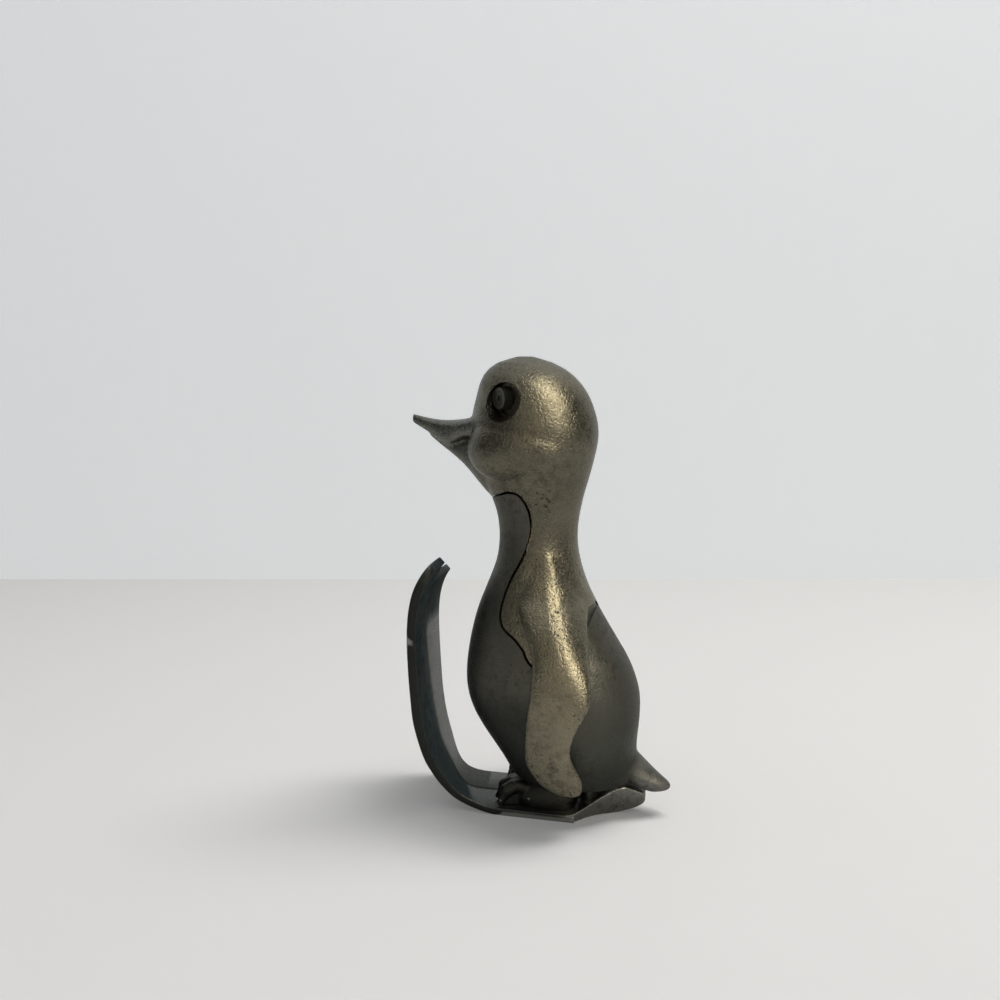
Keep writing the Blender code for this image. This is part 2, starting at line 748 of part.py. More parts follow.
def build_head_casting():
    """Head, bill, nape, shoulders and both flippers."""
    crown = FIGURE_SECTIONS["top"][0]
    head = figure_form(
        "head_casting",
        SHOULDER_FOOT_Z,
        crown,
        back=lambda height: -LIP_PROUD * (1.0 - ramp(height, LIP_Z, LIP_FADE_Z)),
    )
    outline = joint_outline(0.0)
    combine(head, as_tool(side_plate("head_space", outline, 2 * ACROSS, PEWTER)), "INTERSECT")
    hollow = figure_form(
        "head_hollow",
        SHOULDER_FOOT_Z - HEAD_WALL,
        HOLLOW_CEILING_Z,
        front=HEAD_WALL,
        side=HEAD_WALL,
        back=nape_wall,
        spokes=INNER_SPOKES,
    )
    post = upright_rod("post", POST_RADIUS, POST_X, 0.0, POST_FOOT_Z, crown, PEWTER, 12)
    cut(hollow, as_tool(post))
    bill = loft("bill", [upright_frame(*row) for row in BILL_SECTIONS], 16, PEWTER)
    join(head, as_tool(bill))
    sockets = []
    for side, word in ((-1, "left"), (1, "right")):
        frames = []
        for height, front, back, inner, outer in FLIPPER_SECTIONS:
            frames.append(level_frame(height, front, back, side * inner, side * outer))
        join(head, as_tool(loft(f"{word}_flipper", frames, 18, PEWTER)))
        backing = eye_rod(
            f"{word}_socket_backing",
            side,
            SOCKET_RADIUS + SOCKET_BACKING / 2,
            -SOCKET_DEPTH - SOCKET_BACKING,
            SOCKET_DEPTH,
        )
        cut(hollow, as_tool(backing))
        sockets.append(
            eye_rod(
                f"{word}_socket",
                side,
                SOCKET_RADIUS * 0.9,
                -SOCKET_DEPTH,
                SOCKET_DEPTH,
                end_radius=SOCKET_RADIUS * 1.1,
            )
        )
    cut(head, as_tool(hollow))
    for socket in sockets:
        cut(head, as_tool(socket))
    for step in range(1, RELIEF_STEPS + 1):
        relief = as_tool(body_envelope(f"relief_{step}", RELIEF_CLEARANCE))
        relief.matrix_world = tilt_about_pivot(-HEAD_TILT * step / RELIEF_STEPS)
        for modifier in relief.modifiers:
            modifier.object.matrix_world = relief.matrix_world
        cut(head, relief)
    reach = PIN_REACH + PART_GAP
    pin_bore = rod(
        "flipper_pin_bore",
        PIN_RADIUS + PART_GAP,
        (PIVOT_X, -reach, PIVOT_Z),
        (PIVOT_X, reach, PIVOT_Z),
        PEWTER,
        12,
    )
    bore_top = POST_FOOT_Z + HEAD_SCREW_REACH + PART_GAP
    screw_bore = upright_rod(
        "head_screw_bore",
        HEAD_SCREW_RADIUS + PART_GAP,
        POST_X,
        0.0,
        POST_FOOT_Z - PART_GAP,
        bore_top,
        PEWTER,
        10,
    )
    cut(head, as_tool(pin_bore), as_tool(screw_bore))
    return head


def build_eye_studs():
    """Raised pupils with a dimple, set in the sockets."""
    for side, word in ((-1, "left"), (1, "right")):
        base = -SOCKET_DEPTH + PART_GAP
        stud = eye_rod(
            f"{word}_eye_stud",
            side,
            PUPIL_RADIUS,
            base,
            base + PUPIL_HEIGHT,
            PUPIL_SHIFT,
            PUPIL_RADIUS * 0.86,
        )
        dimple = eye_rod(
            f"{word}_dimple",
            side,
            DIMPLE_RADIUS,
            base + PUPIL_HEIGHT - DIMPLE_RADIUS,
            base + PUPIL_HEIGHT + DIMPLE_RADIUS,
            PUPIL_SHIFT,
        )
        cut(stud, as_tool(dimple))


def build_pivot_pins():
    """Headed pins from inside the body into the flipper roots."""
    for side, word in ((-1, "left"), (1, "right")):
        head_top = PIVOT_BOSS_FACE - PART_GAP
        pin = rod(
            f"{word}_pivot_pin",
            PIN_RADIUS,
            (PIVOT_X, side * (head_top - PIN_HEAD_LENGTH / 2), PIVOT_Z),
            (PIVOT_X, side * PIN_REACH, PIVOT_Z),
            STEEL,
            12,
        )
        head = rod(
            f"{word}_pin_head",
            PIN_HEAD_RADIUS,
            (PIVOT_X, side * (head_top - PIN_HEAD_LENGTH), PIVOT_Z),
            (PIVOT_X, side * head_top, PIVOT_Z),
            STEEL,
            12,
        )
        join(pin, as_tool(head))


def ski_half_width_scale(travelled, total):
    """Share of the ski's width at a distance along it: round at the tip."""
    left = total - travelled
    if left >= SKI_TIP_LENGTH:
        return 1.0
    return math.sqrt(max(1.0 - (1.0 - left / SKI_TIP_LENGTH) ** 2, 0.02))


def build_skis():
    """Two bent plates side by side, with curled tips."""
    path = [Vector((x, max(z, 0.0))) for x, z in smooth_path(SKI_SOLE_PATH, SKI_STEPS)]
    total = sum((b - a).length for a, b in zip(path, path[1:]))
    for side, word in ((-1, "left"), (1, "right")):
        form = bmesh.new()
        middle = side * (SKI_PARTING / 2 + SKI_WIDTH / 2)
        travelled = 0.0
        rings = []
        for index, point in enumerate(path):
            if index:
                travelled += (point - path[index - 1]).length
            before = path[max(index - 1, 0)]
            after = path[min(index + 1, len(path) - 1)]
            along = (after - before).normalized()
            normal = Vector((along.y, -along.x))
            if index == 0:
                normal = Vector((0.0, 1.0))
            half = SKI_WIDTH / 2 * ski_half_width_scale(travelled, total)
            upper = point + normal * SKI_THICKNESS
            rings.append(
                [
                    form.verts.new((point.x, middle - half, point.y)),
                    form.verts.new((point.x, middle + half, point.y)),
                    form.verts.new((upper.x, middle + half, upper.y)),
                    form.verts.new((upper.x, middle - half, upper.y)),
                ]
            )
        for ring in (rings[0], rings[-1]):
            form.faces.new(ring)
        for first, second in zip(rings, rings[1:]):
            for corner in range(4):
                following = (corner + 1) % 4
                form.faces.new(
                    (first[corner], first[following], second[following], second[corner])
                )
        ski = place(f"{word}_ski", form, SKI_METAL)
        y = side * FOOT_Y
        bore = upright_rod(
            f"{word}_ski_bore",
            RIVET_RADIUS + PART_GAP,
            ANKLE_X,
            y,
            -SKI_THICKNESS,
            2 * SKI_THICKNESS,
            STEEL,
            12,
        )
        sink = upright_rod(
            f"{word}_ski_sink",
            RIVET_HEAD_RADIUS + PART_GAP,
            ANKLE_X,
            y,
            -SKI_THICKNESS,
            RIVET_HEAD_LENGTH + PART_GAP,
            STEEL,
            12,
        )
        cut(ski, as_tool(bore), as_tool(sink))


def build_feet():
    """Webbed feet with three toes each, between skis and body."""
    underside = FIGURE_SECTIONS["underside"][0]
    floor = SKI_THICKNESS + PART_GAP
    for side, word in ((-1, "left"), (1, "right")):
        y = side * FOOT_Y
        foot = upright_rod(
            f"{word}_foot", ANKLE_RADIUS, ANKLE_X, y, floor, underside - PART_GAP, DARK_PEWTER, 14
        )
        ankle = Vector((ANKLE_X, y, TOE_ROOT_Z))
        for index, angle in enumerate(TOE_FAN_ANGLES):
            turn = math.radians(angle)
            forward = Vector((-math.cos(turn), math.sin(turn), 0.0))
            tip = ankle + forward * TOE_LENGTH - Vector((0.0, 0.0, TOE_DROP))
            toe = rod(
                f"{word}_toe_{index}", TOE_ROOT_RADIUS, ankle, tip, DARK_PEWTER, 10, TOE_TIP_RADIUS
            )
            join(foot, as_tool(toe))
        spread = math.radians(TOE_FAN_ANGLES[-1])
        reach = TOE_LENGTH * 0.85
        web = [
            (ANKLE_X, y),
            (ANKLE_X - reach * math.cos(spread), y - reach * math.sin(spread)),
            (ANKLE_X - reach * math.cos(spread), y + reach * math.sin(spread)),
        ]
        web_matrix = Matrix.Translation((0.0, 0.0, floor + TOE_TIP_RADIUS))
        web_plate = flat_outline(f"{word}_web", web, TOE_TIP_RADIUS, web_matrix, DARK_PEWTER)
        join(foot, as_tool(web_plate))
        sole = upright_rod(f"{word}_sole_cut", FAR / 2, 0.0, 0.0, -FAR, floor, DARK_PEWTER, 8)
        bore = upright_rod(
            f"{word}_foot_bore", RIVET_RADIUS + PART_GAP, ANKLE_X, y, 0.0, FAR, DARK_PEWTER, 12
        )
        cut(foot, as_tool(sole), as_tool(bore))


def build_base():
    """Base plate, its screws, the rivets, the heel block and its screw."""
    underside = FIGURE_SECTIONS["underside"][0]
    plate_bottom = underside + PLATE_RECESS
    plate_top = plate_bottom + PLATE_THICKNESS
    inset = BODY_WALL + PART_GAP
    front, back, half = figure_at(underside)
    frames = [
        level_frame(z, front + inset, back - inset, inset - half, half - inset)
        for z in (plate_bottom, plate_top)
    ]
    plate = loft("base_plate", frames, 28, STEEL)
    for word, (x, y, _, _) in BASE_SCREWS.items():
        bore = upright_rod(
            f"{word}_plate_bore", BASE_SCREW_RADIUS + PART_GAP, x, y, 0.0, FAR, STEEL, 12
        )
        cut(plate, as_tool(bore))
        head_top = plate_bottom - PART_GAP
        head_bottom = head_top - BASE_SCREW_HEAD_LENGTH
        tip = plate_top + BASE_SCREW_LENGTH - PART_GAP
        screw = upright_rod(f"base_screw_{word}", BASE_SCREW_RADIUS, x, y, head_bottom, tip, STEEL, 10)
        head = upright_rod(
            f"{word}_base_screw_head", BASE_SCREW_HEAD_RADIUS, x, y, head_bottom, head_top, STEEL, 12
        )
        join(screw, as_tool(head))
    for side, word in ((-1, "left"), (1, "right")):
        y = side * FOOT_Y
        bore = upright_rod(
            f"{word}_plate_rivet_bore", RIVET_RADIUS + PART_GAP, ANKLE_X, y, 0.0, FAR, STEEL, 12
        )
        cut(plate, as_tool(bore))
        foot_z = PART_GAP / 2
        top_z = plate_top + PART_GAP
        head_z = top_z + RIVET_HEAD_LENGTH
        rivet = upright_rod(f"{word}_ski_rivet", RIVET_RADIUS, ANKLE_X, y, foot_z, head_z, STEEL, 12)
        lower = upright_rod(
            f"{word}_rivet_foot",
            RIVET_HEAD_RADIUS,
            ANKLE_X,
            y,
            foot_z,
            foot_z + RIVET_HEAD_LENGTH,
            STEEL,
            12,
        )
        upper = upright_rod(
            f"{word}_rivet_head", RIVET_HEAD_RADIUS, ANKLE_X, y, top_z, head_z, STEEL, 12
        )
        join(rivet, as_tool(lower), as_tool(upper))
    build_heel_block(plate, plate_top)


def build_heel_block(plate, plate_top):
    """Wedge under the tail, between table and base plate."""
    form = bmesh.new()
    rings = []
    for x, half, bottom, top in HEEL_SECTIONS:
        rings.append(
            [
                form.verts.new((x, -half, bottom)),
                form.verts.new((x, half, bottom)),
                form.verts.new((x, half, top)),
                form.verts.new((x, -half, top)),
            ]
        )
    for ring in (rings[0], rings[-1]):
        form.faces.new(ring)
    for first, second in zip(rings, rings[1:]):
        for corner in range(4):
            following = (corner + 1) % 4
            form.faces.new((first[corner], first[following], second[following], second[corner]))
    heel = place("heel_block", form, SKI_METAL)
    pedestal_top = plate_top - PLATE_THICKNESS - PART_GAP
    pedestal = upright_rod(
        "heel_pedestal", HEEL_PEDESTAL_RADIUS, HEEL_SCREW_X, 0.0, PART_GAP, pedestal_top, SKI_METAL, 16
    )
    bore = upright_rod(
        "heel_bore", HEEL_SCREW_RADIUS + PART_GAP, HEEL_SCREW_X, 0.0, -PART_GAP, FAR, STEEL, 12
    )
    sink_top = HEEL_SCREW_HEAD_LENGTH + 2 * PART_GAP
    sink = upright_rod(
        "heel_sink",
        HEEL_SCREW_HEAD_RADIUS + PART_GAP,
        HEEL_SCREW_X,
        0.0,
        -PART_GAP,
        sink_top,
        STEEL,
        12,
    )
    join(heel, as_tool(pedestal))
    cut(heel, as_tool(bore), as_tool(sink))
    cut(plate, bore)
    screw = upright_rod(
        "heel_screw",
        HEEL_SCREW_RADIUS,
        HEEL_SCREW_X,
        0.0,
        2 * PART_GAP,
        plate_top + 2 * PART_GAP,
        STEEL,
        12,
    )
    head = upright_rod(
        "heel_screw_head", HEEL_SCREW_HEAD_RADIUS, HEEL_SCREW_X, 0.0, PART_GAP,
        PART_GAP + HEEL_SCREW_HEAD_LENGTH, STEEL, 12,
    )
    join(screw, as_tool(head))


def tube_profile(outer, inner, bottom, top):
    """Profile of a plain tube."""
    return [(outer, bottom), (outer, top), (inner, top), (inner, bottom)]


def build_can():
    """Fuel can, its bottom disc, its clip, and the wadding in it."""
    tube_foot = CAN_FOOT_Z + DISC_THICKNESS + PART_GAP
    profile = tube_profile(CAN_RADIUS, CAN_RADIUS - CAN_WALL, tube_foot, CAN_TOP_Z)
    turned("insert_can", profile, INSERT_X, 0.0, BRASS, 20)
    bottom = upright_rod(
        "can_bottom", CAN_RADIUS, INSERT_X, 0.0, CAN_FOOT_Z, CAN_FOOT_Z + DISC_THICKNESS, BRASS, 20
    )
    flint_hole = upright_rod(
        "can_flint_hole", FLINT_RADIUS + PART_GAP, WHEEL_X, 0.0, 0.0, FAR, BRASS, 10
    )
    filler_hole = upright_rod(
        "can_filler_hole", FILLER_RADIUS + PART_GAP, FILLER_X, 0.0, 0.0, FAR, BRASS, 10
    )
    cut(bottom, as_tool(flint_hole), as_tool(filler_hole))
    clip_inner = CAN_RADIUS + PART_GAP * 0.8
    clip_profile = tube_profile(clip_inner + CLIP_THICKNESS, clip_inner, CLIP_Z, CLIP_Z + CLIP_HEIGHT)
    clip = turned("insert_clip", clip_profile, INSERT_X, 0.0, STEEL, 24)
    half_opening = math.radians(CLIP_OPENING / 2)
    wedge = [
        (INSERT_X, 0.0),
        (INSERT_X + FAR * math.cos(half_opening), -FAR * math.sin(half_opening)),
        (INSERT_X + FAR * math.cos(half_opening), FAR * math.sin(half_opening)),
    ]
    matrix = Matrix.Translation((0.0, 0.0, CLIP_Z))
    cut(clip, as_tool(flat_outline("clip_opening", wedge, 3 * CLIP_HEIGHT, matrix, STEEL)))
    cotton = upright_rod(
        "cotton_wadding", COTTON_RADIUS, INSERT_X, 0.0, COTTON_FOOT_Z, COTTON_TOP_Z, COTTON, 18
    )
    tube_way = upright_rod(
        "cotton_tube_way", FLINT_TUBE_RADIUS + PART_GAP, WHEEL_X, 0.0, 0.0, 2 * FAR, COTTON, 14
    )
    wick_way = upright_rod(
        "cotton_wick_way", WICK_RADIUS + PART_GAP, WICK_X, 0.0, 0.0, 2 * FAR, COTTON, 10
    )
    cut(cotton, as_tool(tube_way), as_tool(wick_way))
    upright_rod("wick", WICK_RADIUS, WICK_X, 0.0, WICK_FOOT_Z, WICK_TOP_Z, COTTON, 10)


def build_burner():
    """Deck with wheel ears, wick tube, wheel and axle."""
    deck_z = CAN_TOP_Z + PART_GAP
    deck_top = deck_z + DISC_THICKNESS
    deck = upright_rod("burner_deck", CAN_RADIUS, INSERT_X, 0.0, deck_z, deck_top, BRASS, 24)
    wick_hole = upright_rod(
        "deck_wick_hole", WICK_RADIUS + PART_GAP, WICK_X, 0.0, 0.0, 2 * FAR, BRASS, 10
    )
    flint_hole = upright_rod(
        "deck_flint_hole", FLINT_RADIUS + PART_GAP, WHEEL_X, 0.0, 0.0, 2 * FAR, BRASS, 10
    )
    cut(deck, as_tool(wick_hole), as_tool(flint_hole))
    ear_middle = WHEEL_WIDTH / 2 + PART_GAP + EAR_THICKNESS / 2
    for side in (-1, 1):
        outline = [(WHEEL_X - EAR_RADIUS, deck_z + PART_GAP), (WHEEL_X + EAR_RADIUS, deck_z + PART_GAP)]
        for step in range(7):
            angle = math.pi * step / 6
            outline.append(
                (WHEEL_X + EAR_RADIUS * math.cos(angle), WHEEL_Z + EAR_RADIUS * math.sin(angle))
            )
        ear = side_plate(f"wheel_ear_{side}", outline, EAR_THICKNESS, BRASS, side * ear_middle)
        join(deck, as_tool(ear))
    axle_hole = rod(
        "axle_hole",
        AXLE_RADIUS + PART_GAP,
        (WHEEL_X, -ACROSS, WHEEL_Z),
        (WHEEL_X, ACROSS, WHEEL_Z),
        BRASS,
        12,
    )
    cut(deck, as_tool(axle_hole))
    axle_reach = ear_middle + EAR_THICKNESS / 2 + PART_GAP
    rod(
        "wheel_axle",
        AXLE_RADIUS,
        (WHEEL_X, -axle_reach, WHEEL_Z),
        (WHEEL_X, axle_reach, WHEEL_Z),
        STEEL,
        10,
    )
    tube = tube_profile(WICK_TUBE_RADIUS, WICK_RADIUS + PART_GAP, deck_top + PART_GAP, WICK_TUBE_TOP_Z)
    turned("wick_tube", tube, WICK_X, 0.0, BRASS, 14)
    outline = []
    for step in range(2 * WHEEL_TEETH):
        radius = WHEEL_RADIUS - WHEEL_TOOTH_DEPTH * (step % 2)
        angle = math.pi * step / WHEEL_TEETH
        outline.append((radius * math.cos(angle), radius * math.sin(angle)))
    wheel = side_plate("flint_wheel", outline, WHEEL_WIDTH, STEEL)
    wheel.location = (WHEEL_X, 0.0, WHEEL_Z)
    bore = rod("wheel_bore", AXLE_RADIUS + PART_GAP, (0.0, -ACROSS, 0.0), (0.0, ACROSS, 0.0), STEEL, 12)
    bore.location = wheel.location
    cut(wheel, as_tool(bore))


def build_flint_works():
    """Flint tube, flint, spring, flint screw and filler screw."""
    tube_foot = CAN_FOOT_Z + DISC_THICKNESS + PART_GAP
    tube = tube_profile(FLINT_TUBE_RADIUS, FLINT_BORE, tube_foot, CAN_TOP_Z - PART_GAP / 2)
    turned("flint_tube", tube, WHEEL_X, 0.0, BRASS, 14)
    flint_top = WHEEL_Z - WHEEL_RADIUS - PART_GAP
    flint_foot = flint_top - FLINT_LENGTH
    upright_rod("flint", FLINT_RADIUS, WHEEL_X, 0.0, flint_foot, flint_top, FLINT_GREY, 10)
    spring_top = flint_foot - PART_GAP
    build_flint_spring(spring_top)
    screw_top = spring_top - SPRING_LENGTH - PART_GAP
    screw = upright_rod(
        "flint_screw",
        FLINT_RADIUS,
        WHEEL_X,
        0.0,
        CAN_FOOT_Z - PART_GAP - SCREW_HEAD_LENGTH / 2,
        screw_top,
        STEEL,
        10,
    )
    head = upright_rod(
        "flint_screw_head", SCREW_HEAD_RADIUS, WHEEL_X, 0.0,
        CAN_FOOT_Z - PART_GAP - SCREW_HEAD_LENGTH, CAN_FOOT_Z - PART_GAP, STEEL, 12,
    )
    join(screw, as_tool(head))
    filler = upright_rod(
        "filler_screw", FILLER_RADIUS, FILLER_X, 0.0, CAN_FOOT_Z - PART_GAP - SCREW_HEAD_LENGTH / 2,
        CAN_FOOT_Z + FILLER_LENGTH, STEEL, 10,
    )
    filler_head = upright_rod(
        "filler_screw_head", SCREW_HEAD_RADIUS, FILLER_X, 0.0,
        CAN_FOOT_Z - PART_GAP - SCREW_HEAD_LENGTH, CAN_FOOT_Z - PART_GAP, STEEL, 12,
    )
    join(filler, as_tool(filler_head))


def build_flint_spring(top):
    """Coil between flint and flint screw."""
    curve = bpy.data.curves.new("flint_spring", "CURVE")
    curve.dimensions = "3D"
    curve.bevel_depth = SPRING_WIRE
    curve.bevel_resolution = 1
    curve.use_fill_caps = True
    points_per_turn = 8
    count = SPRING_TURNS * points_per_turn + 1
    coil_radius = FLINT_BORE - PART_GAP / 2 - SPRING_WIRE
    spline = curve.splines.new("POLY")
    spline.points.add(count - 1)
    rise = (SPRING_LENGTH - 2 * SPRING_WIRE) / (count - 1)
    for index, point in enumerate(spline.points):
        angle = math.tau * index / points_per_turn
        x = WHEEL_X + coil_radius * math.cos(angle)
        y = coil_radius * math.sin(angle)
        point.co = (x, y, top - SPRING_WIRE - rise * index, 1.0)
    mesh_from_curve("flint_spring", curve, Matrix.Identity(4), STEEL)
    turn_gap = rise * points_per_turn - 2 * SPRING_WIRE
    print(f"flint spring: {SPRING_TURNS} turns, {turn_gap / MM:.2f} mm between turns")


def strip_outline(points, thickness):
    """Outline of a strip that follows points in the side view."""
    upper = []
    lower = []
    for index, (x, z) in enumerate(points):
        before = points[max(index - 1, 0)]
        after = points[min(index + 1, len(points) - 1)]
        along = Vector((after[0] - before[0], after[1] - before[1])).normalized()
        upper.append((x - along.y * thickness / 2, z + along.x * thickness / 2))
        lower.append((x + along.y * thickness / 2, z - along.x * thickness / 2))
    return upper + lower[::-1]


def build_head_leaves():
    """Snuffer arm with its pad, striker pawl and the screw that holds both leaves."""
    arm_z = POST_FOOT_Z - PART_GAP - LEAF_THICKNESS / 2
    pad_foot = WICK_TOP_Z + PART_GAP
    pad_top = pad_foot + SNUFFER_THICKNESS
    upright_rod("snuffer_pad", SNUFFER_RADIUS, WICK_X, 0.0, pad_foot, pad_top, FELT, 14)
    arm_foot = pad_top + PART_GAP + LEAF_THICKNESS / 2
    arm_path = [
        (POST_X + LEAF_LAND, arm_z),
        (POST_X - LEAF_LAND, arm_z),
        (SNUFFER_BEND_X, arm_z - LEAF_LAND),
        (SNUFFER_BEND_X - PART_GAP, arm_foot + LEAF_LAND),
        (WICK_X - PART_GAP, arm_foot),
        (WICK_X + SNUFFER_RADIUS, arm_foot),
    ]
    arm = side_plate(
        "snuffer_arm", strip_outline(smooth_path(arm_path, 2), LEAF_THICKNESS), LEAF_WIDTH, STEEL
    )
    pawl_z = arm_z - LEAF_THICKNESS - PART_GAP
    turn = math.radians(PAWL_ANGLE)
    tip_distance = WHEEL_RADIUS + PART_GAP + LEAF_THICKNESS / 2
    tip = (WHEEL_X + tip_distance * math.cos(turn), WHEEL_Z + tip_distance * math.sin(turn))
    pawl_path = [
        (POST_X - LEAF_LAND, pawl_z),
        (POST_X + LEAF_LAND, pawl_z),
        (PAWL_BEND_X, (pawl_z + PAWL_ELBOW_Z) / 2),
        (PAWL_BEND_X, PAWL_ELBOW_Z),
        tip,
    ]
    pawl = side_plate(
        "striker_pawl", strip_outline(smooth_path(pawl_path, 2), LEAF_THICKNESS), LEAF_WIDTH, STEEL
    )
    bore = upright_rod(
        "leaf_bore",
        HEAD_SCREW_RADIUS + PART_GAP,
        POST_X,
        0.0,
        pawl_z - LEAF_THICKNESS,
        POST_FOOT_Z,
        STEEL,
        10,
    )
    cut(arm, as_tool(bore))
    cut(pawl, bore)
    head_top = pawl_z - LEAF_THICKNESS / 2 - PART_GAP
    screw = upright_rod(
        "head_screw", HEAD_SCREW_RADIUS, POST_X, 0.0, head_top - HEAD_SCREW_HEAD_LENGTH / 2,
        POST_FOOT_Z + HEAD_SCREW_REACH, STEEL, 10,
    )
    head = upright_rod(
        "head_screw_head",
        HEAD_SCREW_HEAD_RADIUS,
        POST_X,
        0.0,
        head_top - HEAD_SCREW_HEAD_LENGTH,
        head_top,
        STEEL,
        12,
    )
    join(screw, as_tool(head))


def centre_on_origin():
    """Put the origin under the middle of the penguin's length."""
    shift = -(BILL_SECTIONS[-1][0] + TAIL_SECTIONS[-1][0]) / 2
    for thing in list(PENGUIN.objects) + list(CUTTERS.objects):
        thing.location.x += shift
    return shift


def hang_head_on_pivot(shift):
    """Give the pieces that tip back a parent on the axis of the pivot pins."""
    pivot = bpy.data.objects.new("head_pivot", None)
    pivot.location = (PIVOT_X + shift, 0.0, PIVOT_Z)
    PENGUIN.objects.link(pivot)
    for name in HEAD_PIECES:
        thing = bpy.data.objects[name]
        thing.parent = pivot
        thing.matrix_parent_inverse = Matrix.Translation(pivot.location).inverted()


build_body_casting()
build_head_casting()
build_eye_studs()
build_pivot_pins()
build_skis()
build_feet()
build_base()
build_can()
build_burner()
build_flint_works()
build_head_leaves()
hang_head_on_pivot(centre_on_origin())
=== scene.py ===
# %% [markdown]
# # A cast pewter penguin on skis, dressed over its CAD frame
# The frame holds every solid of the penguin at its real size. This script gives the castings, skis, feet
# and eyes a finer surface and all pieces their finish, and sets up camera, light and table. New shapes
# are made in millimetres, measured from the pivot pins, and moved into the frame at the end.

import json
import math

import bmesh
import bpy
from mathutils import Matrix, Vector


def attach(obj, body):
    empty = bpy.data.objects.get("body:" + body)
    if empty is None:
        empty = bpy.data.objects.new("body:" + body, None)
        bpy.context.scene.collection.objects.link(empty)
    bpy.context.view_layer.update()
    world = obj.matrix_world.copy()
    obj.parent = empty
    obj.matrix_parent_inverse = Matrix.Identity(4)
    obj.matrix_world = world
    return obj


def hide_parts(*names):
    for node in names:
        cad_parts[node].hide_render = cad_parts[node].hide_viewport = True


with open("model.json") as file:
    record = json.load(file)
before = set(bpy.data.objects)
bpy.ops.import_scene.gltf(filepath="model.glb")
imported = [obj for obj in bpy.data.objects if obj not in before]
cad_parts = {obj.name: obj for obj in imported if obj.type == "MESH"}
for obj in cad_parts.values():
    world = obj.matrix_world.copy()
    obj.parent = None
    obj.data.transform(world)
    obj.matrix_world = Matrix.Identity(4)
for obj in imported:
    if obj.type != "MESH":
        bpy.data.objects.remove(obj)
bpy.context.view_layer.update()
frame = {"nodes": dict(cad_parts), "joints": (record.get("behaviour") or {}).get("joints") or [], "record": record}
MM = 0.001
HINGE = next(joint for joint in frame["joints"] if joint["name"] == "head_tilt")
PIN_X = HINGE["pos_m"][0]
PIN_HEIGHT = HINGE["pos_m"][2] / MM
HEAD_TILT = HINGE["range_deg"][1]
TO_FRAME = Matrix.Translation((PIN_X, 0.0, 0.0)) @ Matrix.Scale(MM, 4)
print("pins at", round(PIN_X / MM, 2), "mm, height", PIN_HEIGHT, "mm, tilt", HEAD_TILT)

# %% [markdown]
# ## Workbench
# The first helpers read a smooth curve through rows of measured numbers, so that a few rows are enough
# for a flowing form. Lofts bridge rings into a closed skin. Scratch objects follow, because Boolean and
# Remesh are modifiers and need objects to work on.

# %% Smooth rows
def smooth_rows(rows, keys, wanted):
    """Read a smooth curve through rows of numbers at one key. The keys all rise or all fall."""
    last = len(rows) - 1
    sign = 1 if keys[last] > keys[0] else -1
    step = 0
    while step < last - 1 and sign * wanted > sign * keys[step + 1]:
        step += 1

    def slope(index):
        before = max(index - 1, 0)
        after = min(index + 1, last)
        run = keys[after] - keys[before]
        return [(b - a) / run for a, b in zip(rows[before], rows[after])]

    run = keys[step + 1] - keys[step]
    t = (wanted - keys[step]) / run
    h00 = 2 * t**3 - 3 * t**2 + 1
    h10 = (t**3 - 2 * t**2 + t) * run
    h01 = -2 * t**3 + 3 * t**2
    h11 = (t**3 - t**2) * run
    columns = zip(rows[step], slope(step), rows[step + 1], slope(step + 1))
    return [h00 * a + h10 * sa + h01 * b + h11 * sb for a, sa, b, sb in columns]


def smooth_path(points, steps):
    """Smooth path through points, with some steps between each two."""
    keys = list(range(len(points)))
    count = (len(points) - 1) * steps
    return [smooth_rows(points, keys, index / steps) for index in range(count + 1)]


def ramp(value, start, end):
    """Go evenly from 0 at the start to 1 at the end."""
    return min(max((value - start) / (end - start), 0.0), 1.0)


halfway = smooth_rows([(0,), (1,), (4,)], [0, 1, 2], 0.5)[0]
print("half way to 1, a smooth curve over 0, 1 and 4 is at", halfway)

# %% Lofts over level ovals
def face_out(form):
    """Turn all faces outwards."""
    bmesh.ops.recalc_face_normals(form, faces=form.faces[:])


def loft(frames, spokes=32, squareness=1.0):
    """Bridge circles, each turned into its section by a matrix, into a closed bmesh."""
    form = bmesh.new()
    rings = []
    for index, section in enumerate(frames):
        capped = index in (0, len(frames) - 1)
        ring = bmesh.ops.create_circle(form, cap_ends=capped, radius=1.0, segments=spokes)
        for vert in ring["verts"]:
            if squareness != 1.0:
                vert.co.x = math.copysign(abs(vert.co.x) ** squareness, vert.co.x)
                vert.co.y = math.copysign(abs(vert.co.y) ** squareness, vert.co.y)
        bmesh.ops.transform(form, matrix=section, verts=ring["verts"])
        corners = set(ring["verts"])
        rings.append([edge for edge in form.edges if edge.verts[0] in corners])
    for lower, upper in zip(rings, rings[1:]):
        bmesh.ops.bridge_loops(form, edges=lower + upper)
    face_out(form)
    return form


def level(height, front, back, left, right):
    """Matrix of a level oval."""
    middle = Vector(((front + back) / 2, (left + right) / 2, height))
    size = Matrix.Diagonal(((back - front) / 2, (right - left) / 2, 1.0, 1.0))
    return Matrix.Translation(middle) @ size


print("a level oval 2 mm wide and long is this matrix:", level(0.0, -1.0, 1.0, -1.0, 1.0))

# %% Scratch objects
def put(name, data):
    """New object in the scene."""
    thing = bpy.data.objects.new(name, data)
    bpy.context.scene.collection.objects.link(thing)
    return thing


def scratch(name, *forms):
    """Make one object out of bmeshes that may overlap."""
    mesh = bpy.data.meshes.new(name)
    whole = bmesh.new()
    for form in forms:
        form.to_mesh(mesh)
        form.free()
        whole.from_mesh(mesh)
    whole.to_mesh(mesh)
    whole.free()
    return put(name, mesh)


